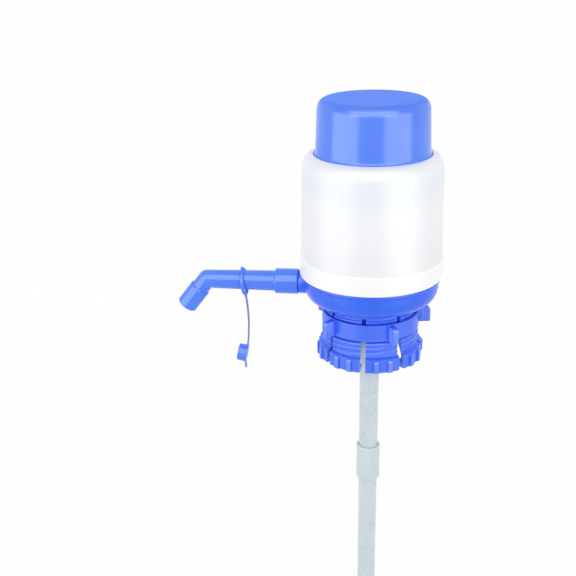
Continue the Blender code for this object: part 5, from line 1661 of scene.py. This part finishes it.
# %% [markdown]
# The room round the pump is plain white to look at, but it gives only a part of that as light. That
# part reaches every side alike, so it lifts the shadows, and the lamps then shape what is left.

# %% The white room
WORLD_LIGHT = 0.42
world = bpy.data.worlds.new("white_room")
bpy.context.scene.world = world
world.use_nodes = True
world_tree = world.node_tree
strength = node(
    world_tree,
    "ShaderNodeMapRange",
    {"Value": looked_at(world_tree), "To Min": WORLD_LIGHT, "To Max": 1},
)
room = world_tree.nodes["Background"]
room.inputs["Color"].default_value = (1, 1, 1, 1)
world_tree.links.new(strength, room.inputs["Strength"])
print("the room's light is", WORLD_LIGHT, "of its white")

# %% [markdown]
# The light is that of a small product studio. A lamp's power follows from how bright its face should
# look and how big it is. Each soft box is two lamps in one place: the gloss sees the first, and the
# colour takes its light from the second, so the sheen can be clear while pale plastic stays under
# white. With a single lamp, a sheen as bright as the cap's would turn the housing plain white.

# %% A soft box
CAMERA_SIDE = -88.0
LIGHT_TARGET = Vector((0, 0, 60))
# Two lamps at one distance would hide each other, so the fill stands a little behind
APART = 10.0


def soft_box(name, side_deg, rise_deg, distance, size, sheen, fill):
    """A rectangle of light that faces the pump.

    side_deg is counted round the pump from the camera's side, and rise_deg from the level. The distance
    and the size, a width and a height, are in millimetres. sheen and fill are how bright its face looks
    in a gloss and as light on the colours. A box with no sheen is only a fill.
    """
    turn = math.radians(CAMERA_SIDE + side_deg)
    rise = math.radians(rise_deg)
    away = Vector((math.cos(turn) * math.cos(rise), math.sin(turn) * math.cos(rise), math.sin(rise)))
    for part, brightness in (("sheen", sheen), ("fill", fill)):
        if brightness == 0:
            continue
        lamp = bpy.data.lights.new(f"{name}_{part}", "AREA")
        lamp.shape = "RECTANGLE"
        lamp.size = size[0] * MM
        lamp.size_y = size[1] * MM
        lamp.energy = brightness * math.pi * lamp.size * lamp.size_y
        made = bpy.data.objects.new(f"{name}_{part}", lamp)
        stand = distance if part == "sheen" else distance + APART
        made.location = (LIGHT_TARGET + away * stand) * MM
        made.rotation_euler = (-away).to_track_quat("-Z", "Y").to_euler()
        made.visible_camera = False
        made.visible_glossy = part == "sheen"
        made.visible_diffuse = part == "fill"
        bpy.context.scene.collection.objects.link(made)
    print(name, "stands", distance, "mm away")


print("the lamps face the point", tuple(LIGHT_TARGET), "mm")


# %% [markdown]
# A box on each side, a little in front, draws the two upright bands on the cap. A wide one high in
# front joins them along the cap's top corner and runs as a band down the pipe. The other four are
# fills without a sheen: one far round on each side for the flanks, one over the pump for the tops,
# and one behind it, so that its back isn't dull when it is turned.

# %% Lamps
soft_box("soft_box_left", -57, 1, 1100, (1170, 980), 3.2, 0.85)
soft_box("soft_box_right", 50, 1, 1100, (1170, 980), 3.2, 0.85)
soft_box("soft_box_top", 0, 42, 1300, (2400, 1400), 4.0, 0.66)
soft_box("soft_box_far_left", -108, 8, 1300, (1200, 1200), 0, 0.75)
soft_box("soft_box_far_right", 108, 8, 1300, (1200, 1200), 0, 0.7)
soft_box("soft_box_ceiling", 0, 88, 1200, (1600, 1600), 0, 0.45)
soft_box("soft_box_back", 180, 30, 1300, (1600, 900), 0, 1.2)

# %% [markdown]
# The camera stands where the pump is seen from in front, a little to the right, and looking down
# by about 22 degrees. Its place, heading, dip and small roll were found by fitting the pump's known
# circles and heights to where they show. Placing it by eye would be off by some pixels, and then no
# shape could be compared. The heading and the dip are in degrees, and the roll is in radians.

# %% Camera
CAMERA_PLACE = Vector((22.3, -638.2, 264.0))
CAMERA_HEADING = -7.65
CAMERA_DIP = 21.67
CAMERA_ROLL = -0.0201
LENS_MM = 56.25
FILM_WIDTH_MM = 36
heading = math.radians(-CAMERA_HEADING)
dip = math.radians(CAMERA_DIP)
forward = Vector((-math.sin(heading) * math.cos(dip), math.cos(heading) * math.cos(dip), -math.sin(dip)))
level_right = forward.cross(Vector((0, 0, 1))).normalized()
level_up = level_right.cross(forward)
right = level_right * math.cos(CAMERA_ROLL) + level_up * math.sin(CAMERA_ROLL)
up = level_up * math.cos(CAMERA_ROLL) - level_right * math.sin(CAMERA_ROLL)
camera_data = bpy.data.cameras.new("camera")
camera_data.lens = LENS_MM
camera_data.sensor_width = FILM_WIDTH_MM
camera = bpy.data.objects.new("camera", camera_data)
camera_turn = Matrix((right, up, -forward)).transposed().to_4x4()
camera.matrix_world = Matrix.Translation(CAMERA_PLACE * MM) @ camera_turn
bpy.context.scene.collection.objects.link(camera)
bpy.context.scene.camera = camera
bpy.context.scene.view_settings.view_transform = "Standard"
print("the camera stands at", tuple(CAMERA_PLACE), "mm")
